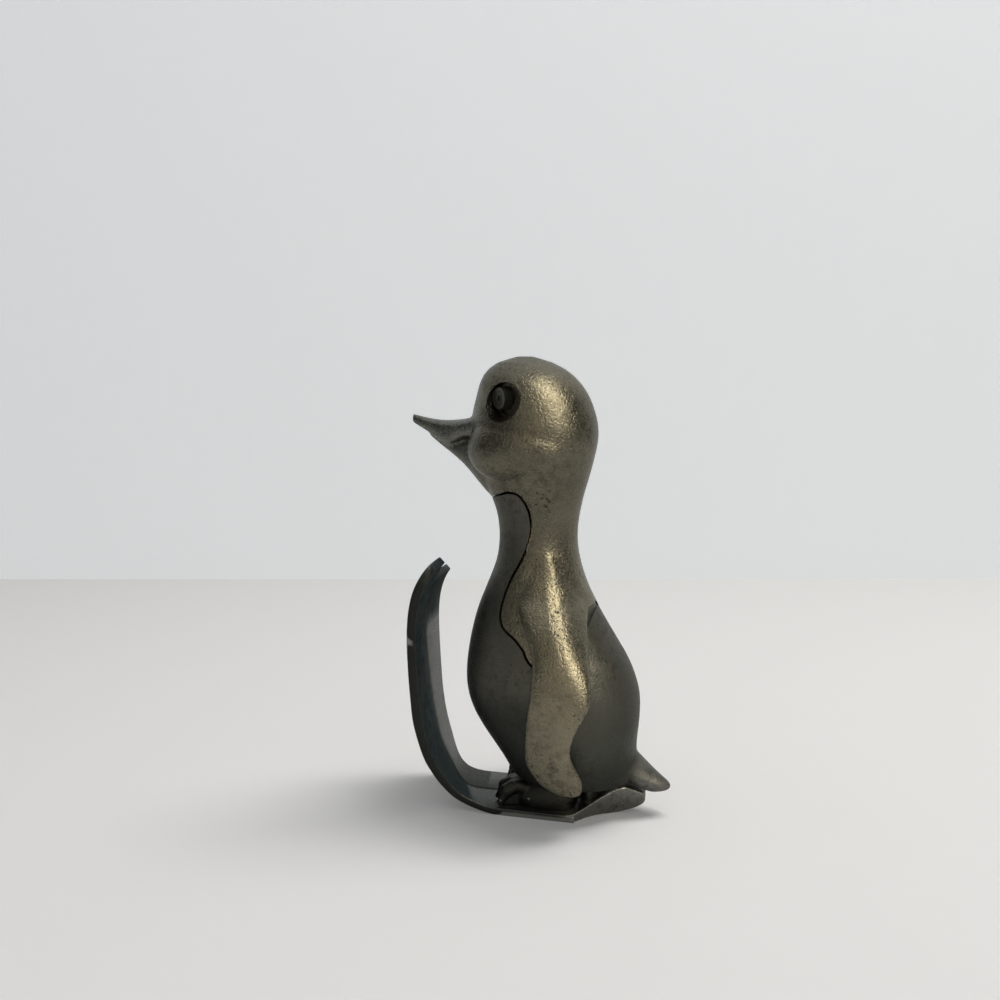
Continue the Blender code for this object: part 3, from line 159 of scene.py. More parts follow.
def settle(thing):
    """Apply the modifiers of an object."""
    bpy.context.view_layer.update()
    shaped = thing.evaluated_get(bpy.context.evaluated_depsgraph_get())
    mesh = bpy.data.meshes.new_from_object(shaped)
    thing.modifiers.clear()
    thing.data = mesh


def boolean(thing, tool, operation):
    """Cut or join an object at once, and remove the tool."""
    modifier = thing.modifiers.new("tool", "BOOLEAN")
    modifier.operation = operation
    modifier.solver = "EXACT"
    modifier.object = tool
    settle(thing)
    bpy.data.objects.remove(tool, do_unlink=True)


def cut(thing, *forms):
    """Cut bmeshes out of an object, one after the other."""
    for form in forms:
        boolean(thing, scratch("tool", form), "DIFFERENCE")


# %% From the bench into the frame
SHARP_ANGLE = math.radians(42.0)


def finish(thing, body, material, node):
    """Bring a piece into the frame in place of a CAD node, shade it and let it ride."""
    thing.data.transform(TO_FRAME)
    form = bmesh.new()
    form.from_mesh(thing.data)
    face_out(form)
    for face in form.faces:
        face.smooth = True
    for edge in form.edges:
        edge.smooth = edge.is_manifold and edge.calc_face_angle() < SHARP_ANGLE
    form.to_mesh(thing.data)
    form.free()
    thing.data.materials.clear()
    thing.data.materials.append(material)
    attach(thing, body)
    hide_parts(node)
    print(thing.name, "has", len(thing.data.polygons), "faces")


print("edges stay sharp from", round(math.degrees(SHARP_ANGLE)), "degrees on")

# %% [markdown]
# ## Finishes
# The penguin is one dark, slightly bronzed cast metal. What makes it look old is the same on every piece:
# a grainy skin that breaks up the highlights, tiny pits that stay black, worn edges that turn bright and
# hollows that stay dark, partly patina and partly painted shade. So these effects are one node group that
# every metal uses with its own values.

# %% Node helpers
def feed(tree, target, value):
    """Give an input a constant or the output of another node."""
    if isinstance(value, bpy.types.NodeSocket):
        tree.links.new(value, target)
    else:
        target.default_value = value


def calc(tree, operation, a, b):
    """Math node."""
    node = tree.nodes.new("ShaderNodeMath")
    node.operation = operation
    feed(tree, node.inputs[0], a)
    feed(tree, node.inputs[1], b)
    return node.outputs["Value"]


def mix(tree, amount, a, b):
    """Colour that goes from a to b."""
    node = tree.nodes.new("ShaderNodeMix")
    node.data_type = "RGBA"
    feed(tree, node.inputs["Factor"], amount)
    feed(tree, node.inputs["A"], a)
    feed(tree, node.inputs["B"], b)
    return node.outputs["Result"]


def spread(tree, value, low, high, out_low=0.0, out_high=1.0):
    """Even stretch of values from low to high."""
    node = tree.nodes.new("ShaderNodeMapRange")
    for name, bound in zip(("From Min", "From Max", "To Min", "To Max"), (low, high, out_low, out_high)):
        node.inputs[name].default_value = bound
    tree.links.new(value, node.inputs["Value"])
    return node.outputs["Result"]


print("helpers for math, mix and map range nodes are ready")

# %% Noises of an old casting: scale per metre, detail, roughness and the stretch of values that counts
CLOUDS = (90.0, 4.0, 0.5, 0.35, 0.68)
STAINS = (620.0, 3.0, 0.65, 0.47, 0.66)
STAINED_FIELDS = (75.0, 2.0, 0.5, 0.40, 0.60)
PITS = (1700.0, 2.0, 0.6, 0.60, 0.70)
PITTED_FIELDS = (110.0, 3.0, 0.5, 0.46, 0.60)
GRAIN = (2300.0, 2.0, 0.6)
SWELLS = (420.0, 2.0, 0.5)
GRAIN_TO_ROUGHNESS = (0.3, 0.7, -0.08, 0.10)
WORN_POINTINESS = (0.53, 0.59)
HOLLOW_POINTINESS = (0.485, 0.44)
CLOUD_SHARE = 0.30
STAIN_SHARE = 0.42
HOLLOW_SHARE = 0.5
HOLLOW_ROUGHNESS = 0.2
GRAIN_HEIGHT = 1.1
SWELL_HEIGHT = 0.5
PIT_DEPTH = 0.8
print("the finest grain is about", round(1000.0 / GRAIN[0], 2), "mm wide")

# %% The grain of old castings, with patina and painted shade in the hollows, as a node group
GROUP_SOCKETS = [
    ("INPUT", "NodeSocketColor", ("Metal", "Worn", "Dark")),
    ("INPUT", "NodeSocketFloat", ("Roughness", "Pits", "Wear")),
    ("OUTPUT", "NodeSocketColor", ("Color",)),
    ("OUTPUT", "NodeSocketFloat", ("Roughness", "Height")),
]


def make_patina_and_shade_group():
    """Colour, roughness and height of an old casting, with hollows darkened by patina and painted shade."""
    group = bpy.data.node_groups.new("old_casting", "ShaderNodeTree")
    for direction, kind, names in GROUP_SOCKETS:
        for name in names:
            group.interface.new_socket(name=name, in_out=direction, socket_type=kind)
    taken = group.nodes.new("NodeGroupInput").outputs
    given = group.nodes.new("NodeGroupOutput").inputs
    place = group.nodes.new("ShaderNodeTexCoord").outputs["Object"]
    pointiness = group.nodes.new("ShaderNodeNewGeometry").outputs["Pointiness"]

    def noise(scale, detail, roughness):
        node = group.nodes.new("ShaderNodeTexNoise")
        for name, value in (("Scale", scale), ("Detail", detail), ("Roughness", roughness)):
            node.inputs[name].default_value = value
        group.links.new(place, node.inputs["Vector"])
        return node.outputs["Fac"]

    def patches(scale, detail, roughness, low, high):
        return spread(group, noise(scale, detail, roughness), low, high)

    def times(a, b):
        return calc(group, "MULTIPLY", a, b)

    stains = times(patches(*STAINS), patches(*STAINED_FIELDS))
    pits = times(times(patches(*PITS), patches(*PITTED_FIELDS)), taken["Pits"])
    edges = times(spread(group, pointiness, *WORN_POINTINESS), taken["Wear"])
    # Hollows turn dark: partly patina, partly painted shade.
    hollows = spread(group, pointiness, *HOLLOW_POINTINESS)
    colour = mix(group, times(patches(*CLOUDS), CLOUD_SHARE), taken["Metal"], taken["Dark"])
    colour = mix(group, times(stains, STAIN_SHARE), colour, taken["Dark"])
    colour = mix(group, edges, colour, taken["Worn"])
    colour = mix(group, times(hollows, HOLLOW_SHARE), colour, taken["Dark"])
    group.links.new(mix(group, pits, colour, taken["Dark"]), given["Color"])
    grain = noise(*GRAIN)
    rough = calc(group, "ADD", taken["Roughness"], spread(group, grain, *GRAIN_TO_ROUGHNESS))
    rough = calc(group, "ADD", rough, times(hollows, HOLLOW_ROUGHNESS))
    group.links.new(rough, given["Roughness"])
    height = calc(group, "ADD", times(grain, GRAIN_HEIGHT), times(noise(*SWELLS), SWELL_HEIGHT))
    group.links.new(calc(group, "SUBTRACT", height, times(pits, PIT_DEPTH)), given["Height"])
    return group


OLD_CASTING = make_patina_and_shade_group()
print("the patina group has", len(OLD_CASTING.nodes), "nodes")

# %% Zones in which the colour differs, most of them painted shade and painted reflection
def fade(tree, axis, start, end, source="Object"):
    """Mask from 0 to 1 along an axis of the place, in millimetres, or of the surface normal."""
    parts = tree.nodes.new("ShaderNodeSeparateXYZ")
    tree.links.new(tree.nodes.new("ShaderNodeTexCoord").outputs[source], parts.inputs["Vector"])
    if source == "Object":
        shift = PIN_X if axis == "X" else 0.0
        start, end = start * MM + shift, end * MM + shift
    rising = (0.0, 1.0) if start < end else (1.0, 0.0)
    mask = spread(tree, parts.outputs[axis], min(start, end), max(start, end), *rising)
    mask.node.interpolation_type = "SMOOTHSTEP"
    return mask


def zoned_colour(tree, colour, zones):
    """Colour that changes where all fades of a zone overlap, and the masks of the zones."""
    masks = []
    current = (*colour, 1.0)
    for fades, other in zones:
        mask = fade(tree, *fades[0])
        for row in fades[1:]:
            mask = calc(tree, "MULTIPLY", mask, fade(tree, *row))
        current = mix(tree, mask, current, (*other, 1.0))
        masks.append(mask)
    return current, masks


# Lighter flippers, a greyer face and bill, and painted shade on the front wall inside the eye sockets
HEAD_ZONES = [
    ([("Z", 56.0, 42.0)], (0.315, 0.282, 0.20)),
    ([("X", -12.5, -17.0)], (0.26, 0.26, 0.23)),
    ([("X", 0.1, 0.4, "Normal"), ("X", -6.0, -8.0), ("Z", 75.0, 76.0)], (0.05, 0.05, 0.042)),
]
# Painted shade on the lower half, the belly and the low end of the body, and a light tail
BODY_ZONES = [
    ([("Z", 30.0, 16.0)], (0.10, 0.102, 0.086)),
    ([("X", 8.0, -2.0), ("Z", 28.0, 20.0)], (0.07, 0.073, 0.062)),
    ([("Z", 16.0, 8.0), ("X", 15.0, 12.0)], (0.055, 0.057, 0.049)),
    ([("X", 14.3, 16.5), ("Z", 18.5, 15.5)], (0.27, 0.265, 0.24)),
]
# Painted shade, dull and not metallic, on the sides of the studs
EYE_ZONES = [([("X", -0.5, -0.2, "Normal")], (0.03, 0.03, 0.025))]
# Painted reflection of the dark belly, dull and not metallic, on the curl's face towards the penguin, and painted
# shade on the band along the outer side
NEAR_SKI_ZONES = [
    ([("X", 0.2, 0.4, "Normal"), ("Z", 1.6, 2.4)], (0.14, 0.175, 0.18)),
    ([("Y", -0.6, -0.8, "Normal")], (0.045, 0.047, 0.043)),
]
# Painted shade, dull and not metallic, on the upper end, and darker painted shade on the flat part
FAR_SKI_ZONES = [
    ([("Z", 33.0, 37.0)], (0.12, 0.14, 0.14)),
    ([("Z", 8.0, 3.0)], (0.08, 0.084, 0.078)),
]
print(len(HEAD_ZONES), "zones on the head and", len(BODY_ZONES), "on the body")

# %% Metals that use them
BRIGHT = (0.60, 0.55, 0.42)
# Near black of pits, stains and the painted shade in hollows
SOOT_AND_SHADE = (0.03, 0.03, 0.025)
RELIEF = 0.13


def principled(name):
    """New material with its node tree and its shader."""
    material = bpy.data.materials.new(name)
    material.use_nodes = True
    tree = material.node_tree
    return material, tree, tree.nodes["Principled BSDF"]


def cast_metal(
    name, metal, worn=BRIGHT, dark=SOOT_AND_SHADE, roughness=0.40, pits=0.5, wear=0.0, bump=0.5, metallic=1.0,
    zones=(), painted_dull_shade=False
):
    """Principled metal with the grain of an old casting. Its first zone may be painted shade, dull and not
    metallic.
    """
    material, tree, shader = principled(name)
    shader.inputs["Metallic"].default_value = metallic
    colour, masks = zoned_colour(tree, metal, zones)
    grain = tree.nodes.new("ShaderNodeGroup")
    grain.node_tree = OLD_CASTING
    values = {"Metal": colour, "Worn": (*worn, 1.0), "Dark": (*dark, 1.0)}
    values.update(Roughness=roughness, Pits=pits, Wear=wear)
    for socket, value in values.items():
        feed(tree, grain.inputs[socket], value)
    relief = tree.nodes.new("ShaderNodeBump")
    relief.inputs["Strength"].default_value = bump
    relief.inputs["Distance"].default_value = RELIEF * MM
    # The first zone is painted shade that loses the metal's sheen.
    if painted_dull_shade:
        feed(tree, shader.inputs["Metallic"], calc(tree, "SUBTRACT", 1.0, masks[0]))
        shader.inputs["Specular IOR Level"].default_value = 0.0
    tree.links.new(grain.outputs["Color"], shader.inputs["Base Color"])
    tree.links.new(grain.outputs["Roughness"], shader.inputs["Roughness"])
    tree.links.new(grain.outputs["Height"], relief.inputs["Height"])
    tree.links.new(relief.outputs["Normal"], shader.inputs["Normal"])
    return material


SKI = {"roughness": 0.45, "pits": 0.6, "painted_dull_shade": True}
SMOOTH = {"roughness": 0.28, "pits": 0.2, "wear": 0.3, "bump": 0.2}
SOFT = {"pits": 0.0, "bump": 0.9, "metallic": 0.0}
PEWTER = cast_metal(
    "bronzed_pewter", (0.225, 0.205, 0.15), roughness=0.30, pits=1.0, bump=0.9, zones=HEAD_ZONES
)
# The body's pewter is darker than the head's: partly patina, partly painted shade below and behind the flippers.
BODY_METAL = cast_metal(
    "dark_pewter", (0.16, 0.156, 0.13), roughness=0.46, pits=0.8, bump=0.7, zones=BODY_ZONES
)
EYE_METAL = cast_metal("eye_pewter", (0.24, 0.24, 0.21), wear=0.4, zones=EYE_ZONES, painted_dull_shade=True)
# The feet are painted nearly black as the shade under the belly.
FOOT_METAL = cast_metal("foot_pewter", (0.05, 0.05, 0.043), (0.35, 0.34, 0.30), wear=0.8, bump=0.6)
# The heel block's lighter pewter is painted reflection of the pale table on its walls.
HEEL_METAL = cast_metal("heel_pewter", (0.35, 0.35, 0.31), (0.62, 0.59, 0.50), pits=0.6, wear=1.8)
# Both skis are the same pewter, given a darker base on the left ski and a lighter one on the right as painted
# shade and painted light.
NEAR_SKI = cast_metal(
    "left_ski_pewter", (0.12, 0.127, 0.12), (0.32, 0.32, 0.30), wear=1.2, zones=NEAR_SKI_ZONES, **SKI
)
FAR_SKI = cast_metal(
    "right_ski_pewter", (0.25, 0.255, 0.24), (0.36, 0.36, 0.33), wear=0.4, zones=FAR_SKI_ZONES, **SKI
)
STEEL = cast_metal("steel", (0.50, 0.50, 0.51), (0.72, 0.72, 0.72), (0.15, 0.14, 0.13), **SMOOTH)
BRASS = cast_metal("brass", (0.66, 0.48, 0.18), (0.85, 0.68, 0.35), (0.22, 0.14, 0.05), **SMOOTH)
FLINT = cast_metal(
    "flint", (0.12, 0.12, 0.13), (0.30, 0.30, 0.30), SOOT_AND_SHADE, 0.65, 0.6, wear=0.3, bump=0.6, metallic=0.4
)
COTTON = cast_metal(
    "cotton", (0.78, 0.75, 0.68), (0.86, 0.84, 0.78), (0.52, 0.48, 0.40), 0.92, wear=0.2, **SOFT
)
FELT = cast_metal(
    "pad_felt", (0.11, 0.10, 0.09), (0.20, 0.19, 0.17), (0.04, 0.04, 0.04), 0.90, wear=0.3, **SOFT
)
print(len(bpy.data.materials), "materials")

# %% Finishes of the CAD nodes that stay as they are
NODE_FINISH = {"steel": STEEL, "brass": BRASS, "cotton": COTTON, "flint": FLINT, "felt": FELT}
dressed = [row for row in frame["record"]["subparts"] if row["material_slot"] in NODE_FINISH]
for row in dressed:
    node = frame["nodes"][row["node"]]
    node.data.materials.clear()
    node.data.materials.append(NODE_FINISH[row["material_slot"]])
print(len(dressed), "CAD nodes get a finish")

# %% [markdown]
# ## The figure
# Head, neck, belly and back are one smooth pear that was modelled in clay before it was cast and cut. So
# it is lofted as a whole: level ovals from the underside to the crown, each with its front, back and half
# width. A sphere and a cylinder could be pushed into this shape too, but rings keep the measured outline
# exactly.

# %% Sections of the figure: height, front, back and half width
FIGURE = [
    (6.6, -8.8, 14.2, 9.7),
    (7.6, -9.7, 14.9, 10.4),
    (10.5, -11.3, 15.0, 11.6),
    (13.8, -13.5, 15.0, 12.7),
    (17.0, -15.7, 15.3, 13.5),
    (20.3, -17.5, 15.5, 14.0),
    (23.6, -18.45, 15.35, 14.2),
    (26.8, -18.65, 14.5, 14.0),
    (30.1, -18.4, 13.1, 13.4),
    (33.3, -17.9, 11.25, 12.6),
    (36.5, -17.2, 9.35, 11.8),
    (39.7, -16.3, 7.5, 10.7),
    (42.8, -15.1, 5.8, 9.6),
    (46.0, -13.8, 4.5, 8.6),
    (49.1, -12.7, 3.6, 7.8),
    (52.3, -12.2, 3.05, 7.3),
    (55.4, -12.2, 3.0, 7.15),
    (58.5, -12.7, 3.4, 7.4),
    (61.6, -13.8, 4.05, 8.1),
    (64.6, -15.2, 4.9, 9.0),
    (68.0, -16.4, 5.8, 9.9),
    (72.3, -17.2, 6.67, 10.4),
    (75.3, -17.6, 6.6, 10.4),
    (78.3, -17.2, 5.8, 10.0),
    (80.6, -16.6, 4.85, 9.4),
    (82.9, -16.0, 3.3, 8.5),
    (85.0, -14.9, 1.14, 7.0),
    (86.5, -13.2, -1.4, 5.0),
    (87.5, -11.0, -3.9, 2.8),
    (87.95, -9.0, -5.8, 1.0),
]
FIGURE_HEIGHTS = [row[0] for row in FIGURE]


def figure_at(height):
    """Front, back and half width at a height."""
    return smooth_rows([row[1:] for row in FIGURE], FIGURE_HEIGHTS, height)


def figure_skin(bottom, top, front=0.0, side=0.0, back=0.0, spokes=64, step=1.1):
    """Loft the figure between two heights. An inset may be a function of the height."""
    count = max(2, round((top - bottom) / step))
    frames = []
    for index in range(count + 1):
        height = bottom + (top - bottom) * index / count
        front_x, back_x, half = figure_at(height)
        half -= side(height) if callable(side) else side
        front_x += front(height) if callable(front) else front
        back_x -= back(height) if callable(back) else back
        frames.append(level(height, front_x, back_x, -half, half))
    return loft(frames, spokes)


print("the figure is", round(FIGURE_HEIGHTS[-1] - FIGURE_HEIGHTS[0], 2), "mm tall above its base")

# %% [markdown]
# ## The joint between the two castings
# The dark line from throat to flipper is where the upper casting tips off the lower one. Seen from the
# side it is one outline: an arch about the pins, a curve down the neck, and a round lobe about the pins.
# A prism of that outline divides the figure, once as it is and once grown by the gap.

# %% Outline of the upper casting's space
ARCH_RADIUS = 29.1
ARCH_SPAN = (128.0, 108.0)
NECK_SEAM = [
    (-6.9, 62.9), (-5.4, 61.2), (-4.5, 58.8), (-4.3, 55.5), (-5.1, 52.4), (-6.2, 49.8),
    (-7.7, 47.0), (-8.9, 44.0), (-9.6, 41.0), (-9.5, 39.0), (-8.4, 37.5), (-6.4, 36.2),
]
LOBE_RADIUS = 4.7
LOBE_SPAN = (195.0, 346.0)
ARC_POINTS = 12
LIP = (7.2, 41.3)
LIP_RISE = 3.0
FAR = 60.0
JOINT_GAP = 0.5
TIGHT_SHARE = 0.2
GAP_OPENS = (-6, -2)
GAP_CLOSES = (-3, -2)


def about_pins(radius, start, end):
    """Points of an arc about the pins, in the side view."""
    points = []
    for index in range(ARC_POINTS):
        angle = math.radians(start + (end - start) * index / (ARC_POINTS - 1))
        points.append((radius * math.cos(angle), PIN_HEIGHT + radius * math.sin(angle)))
    return points


def head_space(gap):
    """Outline of the upper casting's space, grown by a gap that is tight at both ends."""
    arch = about_pins(ARCH_RADIUS, *ARCH_SPAN)
    lobe = about_pins(LOBE_RADIUS, *LOBE_SPAN)
    neck = smooth_path([arch[-1], *NECK_SEAM, lobe[0]], 4)
    line = [*arch, *neck[1:-1], *lobe, LIP, (FAR, LIP[1] + LIP_RISE)]
    grown = []
    for index, (x, z) in enumerate(line):
        before = line[max(index - 1, 0)]
        after = line[min(index + 1, len(line) - 1)]
        way = Vector((after[0] - before[0], after[1] - before[1])).normalized()
        opened = ramp(index, *[len(arch) + offset for offset in GAP_OPENS])
        closed = ramp(index, *[len(line) + offset for offset in GAP_CLOSES])
        room = gap * (TIGHT_SHARE + (1.0 - TIGHT_SHARE) * (opened - closed))
        grown.append((x + way.y * room, z - way.x * room))
    return [*grown, (FAR, 2 * FAR), (-FAR, 2 * FAR), (-FAR, grown[0][1])]


def prism(outline, half_depth):
    """Plate with an outline in the side view, as deep as asked on both sides."""
    form = bmesh.new()
    corners = [form.verts.new((x, -half_depth, z)) for x, z in outline]
    face = form.faces.new(corners)
    moved = bmesh.ops.extrude_face_region(form, geom=[face])["geom"]
    fresh = [item for item in moved if isinstance(item, bmesh.types.BMVert)]
    bmesh.ops.translate(form, vec=(0.0, 2 * half_depth, 0.0), verts=fresh)
    face_out(form)
    return form


print("the joint outline has", len(head_space(0.0)), "corners")

# %% [markdown]
# ## The upper casting
# Figure, bill, cheeks and flippers were one clay model, so they are melted together by a voxel remesh,
# which also leaves the soft fillets of a casting. Only then is it sawn along the joint and hollowed, with
# exact cuts, because the real joint line is thin and crisp.

# %% Bill: place along the penguin, top, bottom and half width
UPPER_BILL = [
    (-13.5, 77.2, 71.5, 4.3),
    (-16.5, 76.7, 72.4, 4.1),
    (-18.6, 76.15, 72.3, 3.7),
    (-20.4, 75.9, 71.5, 3.4),
    (-22.0, 75.75, 70.9, 3.0),
    (-24.0, 75.75, 71.8, 2.35),
    (-26.0, 76.0, 73.1, 1.7),
    (-28.0, 76.4, 74.2, 1.15),
    (-29.8, 76.9, 75.2, 0.75),
]
LOWER_BILL = [
    (-11.0, 72.0, 60.4, 4.6),
    (-13.6, 72.2, 61.2, 4.2),
    (-15.8, 72.2, 63.4, 3.6),
    (-17.6, 72.2, 65.5, 3.0),
    (-19.4, 71.9, 67.4, 2.6),
    (-21.6, 71.3, 69.3, 2.1),
    (-24.0, 72.0, 71.0, 1.35),
    (-26.2, 73.6, 72.6, 0.7),
]


def upright(x, top, bottom, half_width):
    """Matrix of an oval square to the length of the penguin."""
    centre = Vector((x, 0.0, (top + bottom) / 2))
    turn = Matrix.Rotation(math.radians(90.0), 4, "Y")
    size = Matrix.Diagonal(((top - bottom) / 2, half_width, 1.0, 1.0))
    return Matrix.Translation(centre) @ turn @ size


def spindle(rows, squareness):
    """Loft along the penguin over upright ovals."""
    return loft([upright(*row) for row in smooth_path(rows, 3)], squareness=squareness)


def make_bill():
    """Upper bill with its overhanging edge, and the narrower lower bill that runs into the throat."""
    return [spindle(UPPER_BILL, squareness=0.65), spindle(LOWER_BILL, squareness=0.85)]


print("the bill's tip is", -UPPER_BILL[-1][0], "mm in front of the pins")

# %% Cheeks
CHEEK_PLACE = (-6.9, 4.6, 70.8)
CHEEK_RADII = (10.5, 6.6, 7.2)


def ball(centre, radii):
    """Ellipsoid as a bmesh."""
    form = bmesh.new()
    place = Matrix.Translation(Vector(centre)) @ Matrix.Diagonal((*radii, 1.0))
    bmesh.ops.create_icosphere(form, subdivisions=4, radius=1.0, matrix=place)
    return form


def make_cheeks():
    """Full cheeks that rise in front of the bill's root, from below the eye down to the throat."""
    x, y, z = CHEEK_PLACE
    return [ball((x, side * y, z), CHEEK_RADII) for side in (-1, 1)]


print("the cheeks are", 2 * (CHEEK_PLACE[1] + CHEEK_RADII[1]), "mm wide")

# %% Flippers: height, front, back, distance of the middle from the centre, half thickness
FLIPPER = [
    (54.0, -4.2, -1.0, 4.8, 1.2),
    (51.0, -4.8, 0.6, 5.8, 1.5),
    (48.0, -5.6, 2.4, 6.4, 1.8),
    (45.0, -6.2, 3.8, 7.3, 2.0),
    (43.0, -6.3, 5.2, 8.3, 2.1),
    (41.0, -6.0, 6.0, 9.8, 2.2),
    (38.0, -4.6, 6.5, 12.0, 2.1),
    (36.0, -3.6, 6.8, 13.0, 2.0),
    (34.5, -3.0, 7.1, 13.7, 1.9),
    (31.4, -2.5, 7.8, 14.95, 1.75),
    (28.4, -2.6, 8.2, 15.7, 1.6),
    (26.0, -2.8, 8.3, 16.0, 1.5),
    (24.0, -3.1, 7.5, 16.1, 1.45),
    (21.5, -3.4, 6.2, 16.0, 1.4),
    (18.5, -3.6, 5.0, 15.8, 1.35),
    (15.7, -3.7, 4.8, 15.4, 1.35),
    (13.6, -3.5, 5.6, 15.0, 1.3),
    (11.6, -2.5, 6.5, 14.6, 1.2),
    (10.0, -1.4, 6.9, 14.3, 1.1),
    (8.8, 0.1, 6.7, 14.1, 0.95),
    (8.0, 1.8, 6.1, 14.0, 0.75),
    (7.6, 3.2, 5.2, 13.9, 0.4),
]
FLIPPER_HEIGHTS = [row[0] for row in FLIPPER]
FREE_FROM = 25.0
CLINGS_FROM = 38.0
RIDGE = 0.5


def make_flipper(side):
    """Behind its ridge the upper part falls back to the figure, and the tip stands free."""
    frames = []
    for height, front, back, middle, half in smooth_path(FLIPPER, 3):
        frames.append(level(height, front, back, middle - half, middle + half))
    form = loft(frames, spokes=40, squareness=0.6)
    for vert in form.verts:
        front, back, half = figure_at(vert.co.z)
        start, end = smooth_rows([row[1:3] for row in FLIPPER], FLIPPER_HEIGHTS, vert.co.z)
        along = (end - (front + back) / 2) / ((back - front) / 2)
        drop_in = half * (1.0 - math.sqrt(max(1.0 - along * along, 0.0)))
        share = ramp(vert.co.x, start + RIDGE * (end - start), end)
        vert.co.y = side * (vert.co.y - drop_in * share**2 * ramp(vert.co.z, FREE_FROM, CLINGS_FROM))
    face_out(form)
    return form


print("the flippers are", FLIPPER_HEIGHTS[0] - FLIPPER_HEIGHTS[-1], "mm long")

# %% Walls and clearances of the two castings
HEAD_WALL = 1.2
BODY_WALL = 1.3
HEAD_SKIN_FOOT = 27.0
HOLLOW_CEILING = 86.0
LIP_PROUD = 0.1
LIP_FADE = 50.0
CLEARANCE = 0.35
SHOULDER_FOOT = 30.0
SHOULDER_RIM = 46.0
SHOULDER_STEP = 0.15
BACK_DROP = 0.1
BACK_DROP_SPAN = (31.0, 37.5)
NECK_TOP = 74.0


def nape_wall(height):
    """The wall thins out towards the lip at the back."""
    return HEAD_WALL * ramp(height, LIP[1], LIP_FADE)


def back_drop(height):
    """How far the lower casting's back lies under the lip of the upper casting."""
    return BACK_DROP * ramp(height, *BACK_DROP_SPAN)


def shoulder_drop(height):
    """How far the inner shoulders lie inside the figure at the back."""
    return max(BACK_DROP + SHOULDER_STEP, nape_wall(height) + CLEARANCE)


def lip_swell(height):
    """Negative inset that lets the lip stand a little out of the figure at the back."""
    return -LIP_PROUD * (1.0 - ramp(height, LIP[1], LIP_FADE))


print("walls of", HEAD_WALL, "and", BODY_WALL, "mm")

# %% The lower casting's outside, which the upper casting has to clear
def add_shoulders(body, grown):
    """Join the inner shoulders, grown by a clearance, to the lower casting."""
    top = SHOULDER_RIM + grown
    covered = HEAD_WALL + CLEARANCE - grown
    skin = figure_skin(
        SHOULDER_FOOT, top, covered, covered, lambda height: shoulder_drop(height) - grown, spokes=48
    )
    boolean(body, scratch("shoulders", skin), "UNION")


def body_envelope(grown):
    """Outside of the lower casting with its inner shoulders, grown by a clearance."""
    skin = figure_skin(
        FIGURE_HEIGHTS[0], NECK_TOP, -grown, -grown, lambda height: back_drop(height) - grown, 40, step=2.2
    )
    body = scratch("envelope", skin)
    cut(body, prism(head_space(JOINT_GAP - grown), FAR))
    add_shoulders(body, grown)
    return body


def tilted(thing, degrees):
    """Turn an object's mesh about the pins."""
    pins = Vector((0.0, 0.0, PIN_HEIGHT))
    turn = Matrix.Rotation(math.radians(degrees), 4, "Y")
    thing.data.transform(Matrix.Translation(pins) @ turn @ Matrix.Translation(-pins))
    return thing


print("the envelope is turned by up to", HEAD_TILT, "degrees")

# %% Space inside the upper casting, with a post for the leaves: place, radius and foot
POST = (-4.0, 1.5, 74.6)
POST_TOP = 90.0


def rod(start, end, radius, end_radius=None, spokes=32):
    """Cylinder or cone between two points as a bmesh."""
    start = Vector(start)
    axis = Vector(end) - start
    form = bmesh.new()
    turn = axis.to_track_quat("Z", "Y").to_matrix().to_4x4()
    bmesh.ops.create_cone(
        form,
        cap_ends=True,
        segments=spokes,
        radius1=radius,
        radius2=radius if end_radius is None else end_radius,
        depth=axis.length,
        matrix=Matrix.Translation(start + axis / 2) @ turn,
    )
    return form


def pillar(x, y, bottom, top, radius, spokes=32):
    """Upright cylinder."""
    return rod((x, y, bottom), (x, y, top), radius, spokes=spokes)


def inner_head():
    """Space inside the upper casting, less the post that carries the leaves."""
    foot = HEAD_SKIN_FOOT - 1.0
    hollow = figure_skin(foot, HOLLOW_CEILING, HEAD_WALL, HEAD_WALL, nape_wall, spokes=32, step=2.0)
    inside = scratch("inner_head", hollow)
    x, radius, post_foot = POST
    cut(inside, pillar(x, 0.0, post_foot, POST_TOP, radius, spokes=20))
    return inside


print("the post is", 2 * POST[1], "mm thick")

# %% Eye sockets
EYE = (-9.8, 9.1, 79.8)
EYE_TURN = 30.0
SOCKET_RADIUS = 3.7
SOCKET_DEPTH = 2.2
SOCKET_TAPER = (0.92, 1.08)
STEP_SHARE = 0.74
STEP_DEPTH = 0.45
BACKING_WALL = 0.7
BACKING_DEPTH = 1.4


def eye_frame(side, turn_degrees):
    """Matrix of an eye: Z points out of the head."""
    turn = math.radians(turn_degrees)
    outward = Vector((-math.sin(turn), side * math.cos(turn), 0.0))
    upward = Vector((0.0, 0.0, 1.0))
    axes = Matrix((upward.cross(outward), upward, outward)).transposed().to_4x4()
    x, y, z = EYE
    return Matrix.Translation((x, side * y, z)) @ axes


def eye_rod(side, radius, bottom, top, end_radius=None):
    """Cylinder along the axis of an eye socket."""
    place = eye_frame(side, EYE_TURN)
    start, end = [place @ Vector((0.0, 0.0, height)) for height in (bottom, top)]
    return rod(start, end, radius, end_radius, spokes=64)


print("each eye is", EYE[1], "mm off the middle and", EYE[2], "mm up")

# %% Melting
VOXEL = 0.3
SOFTENING = 0.5


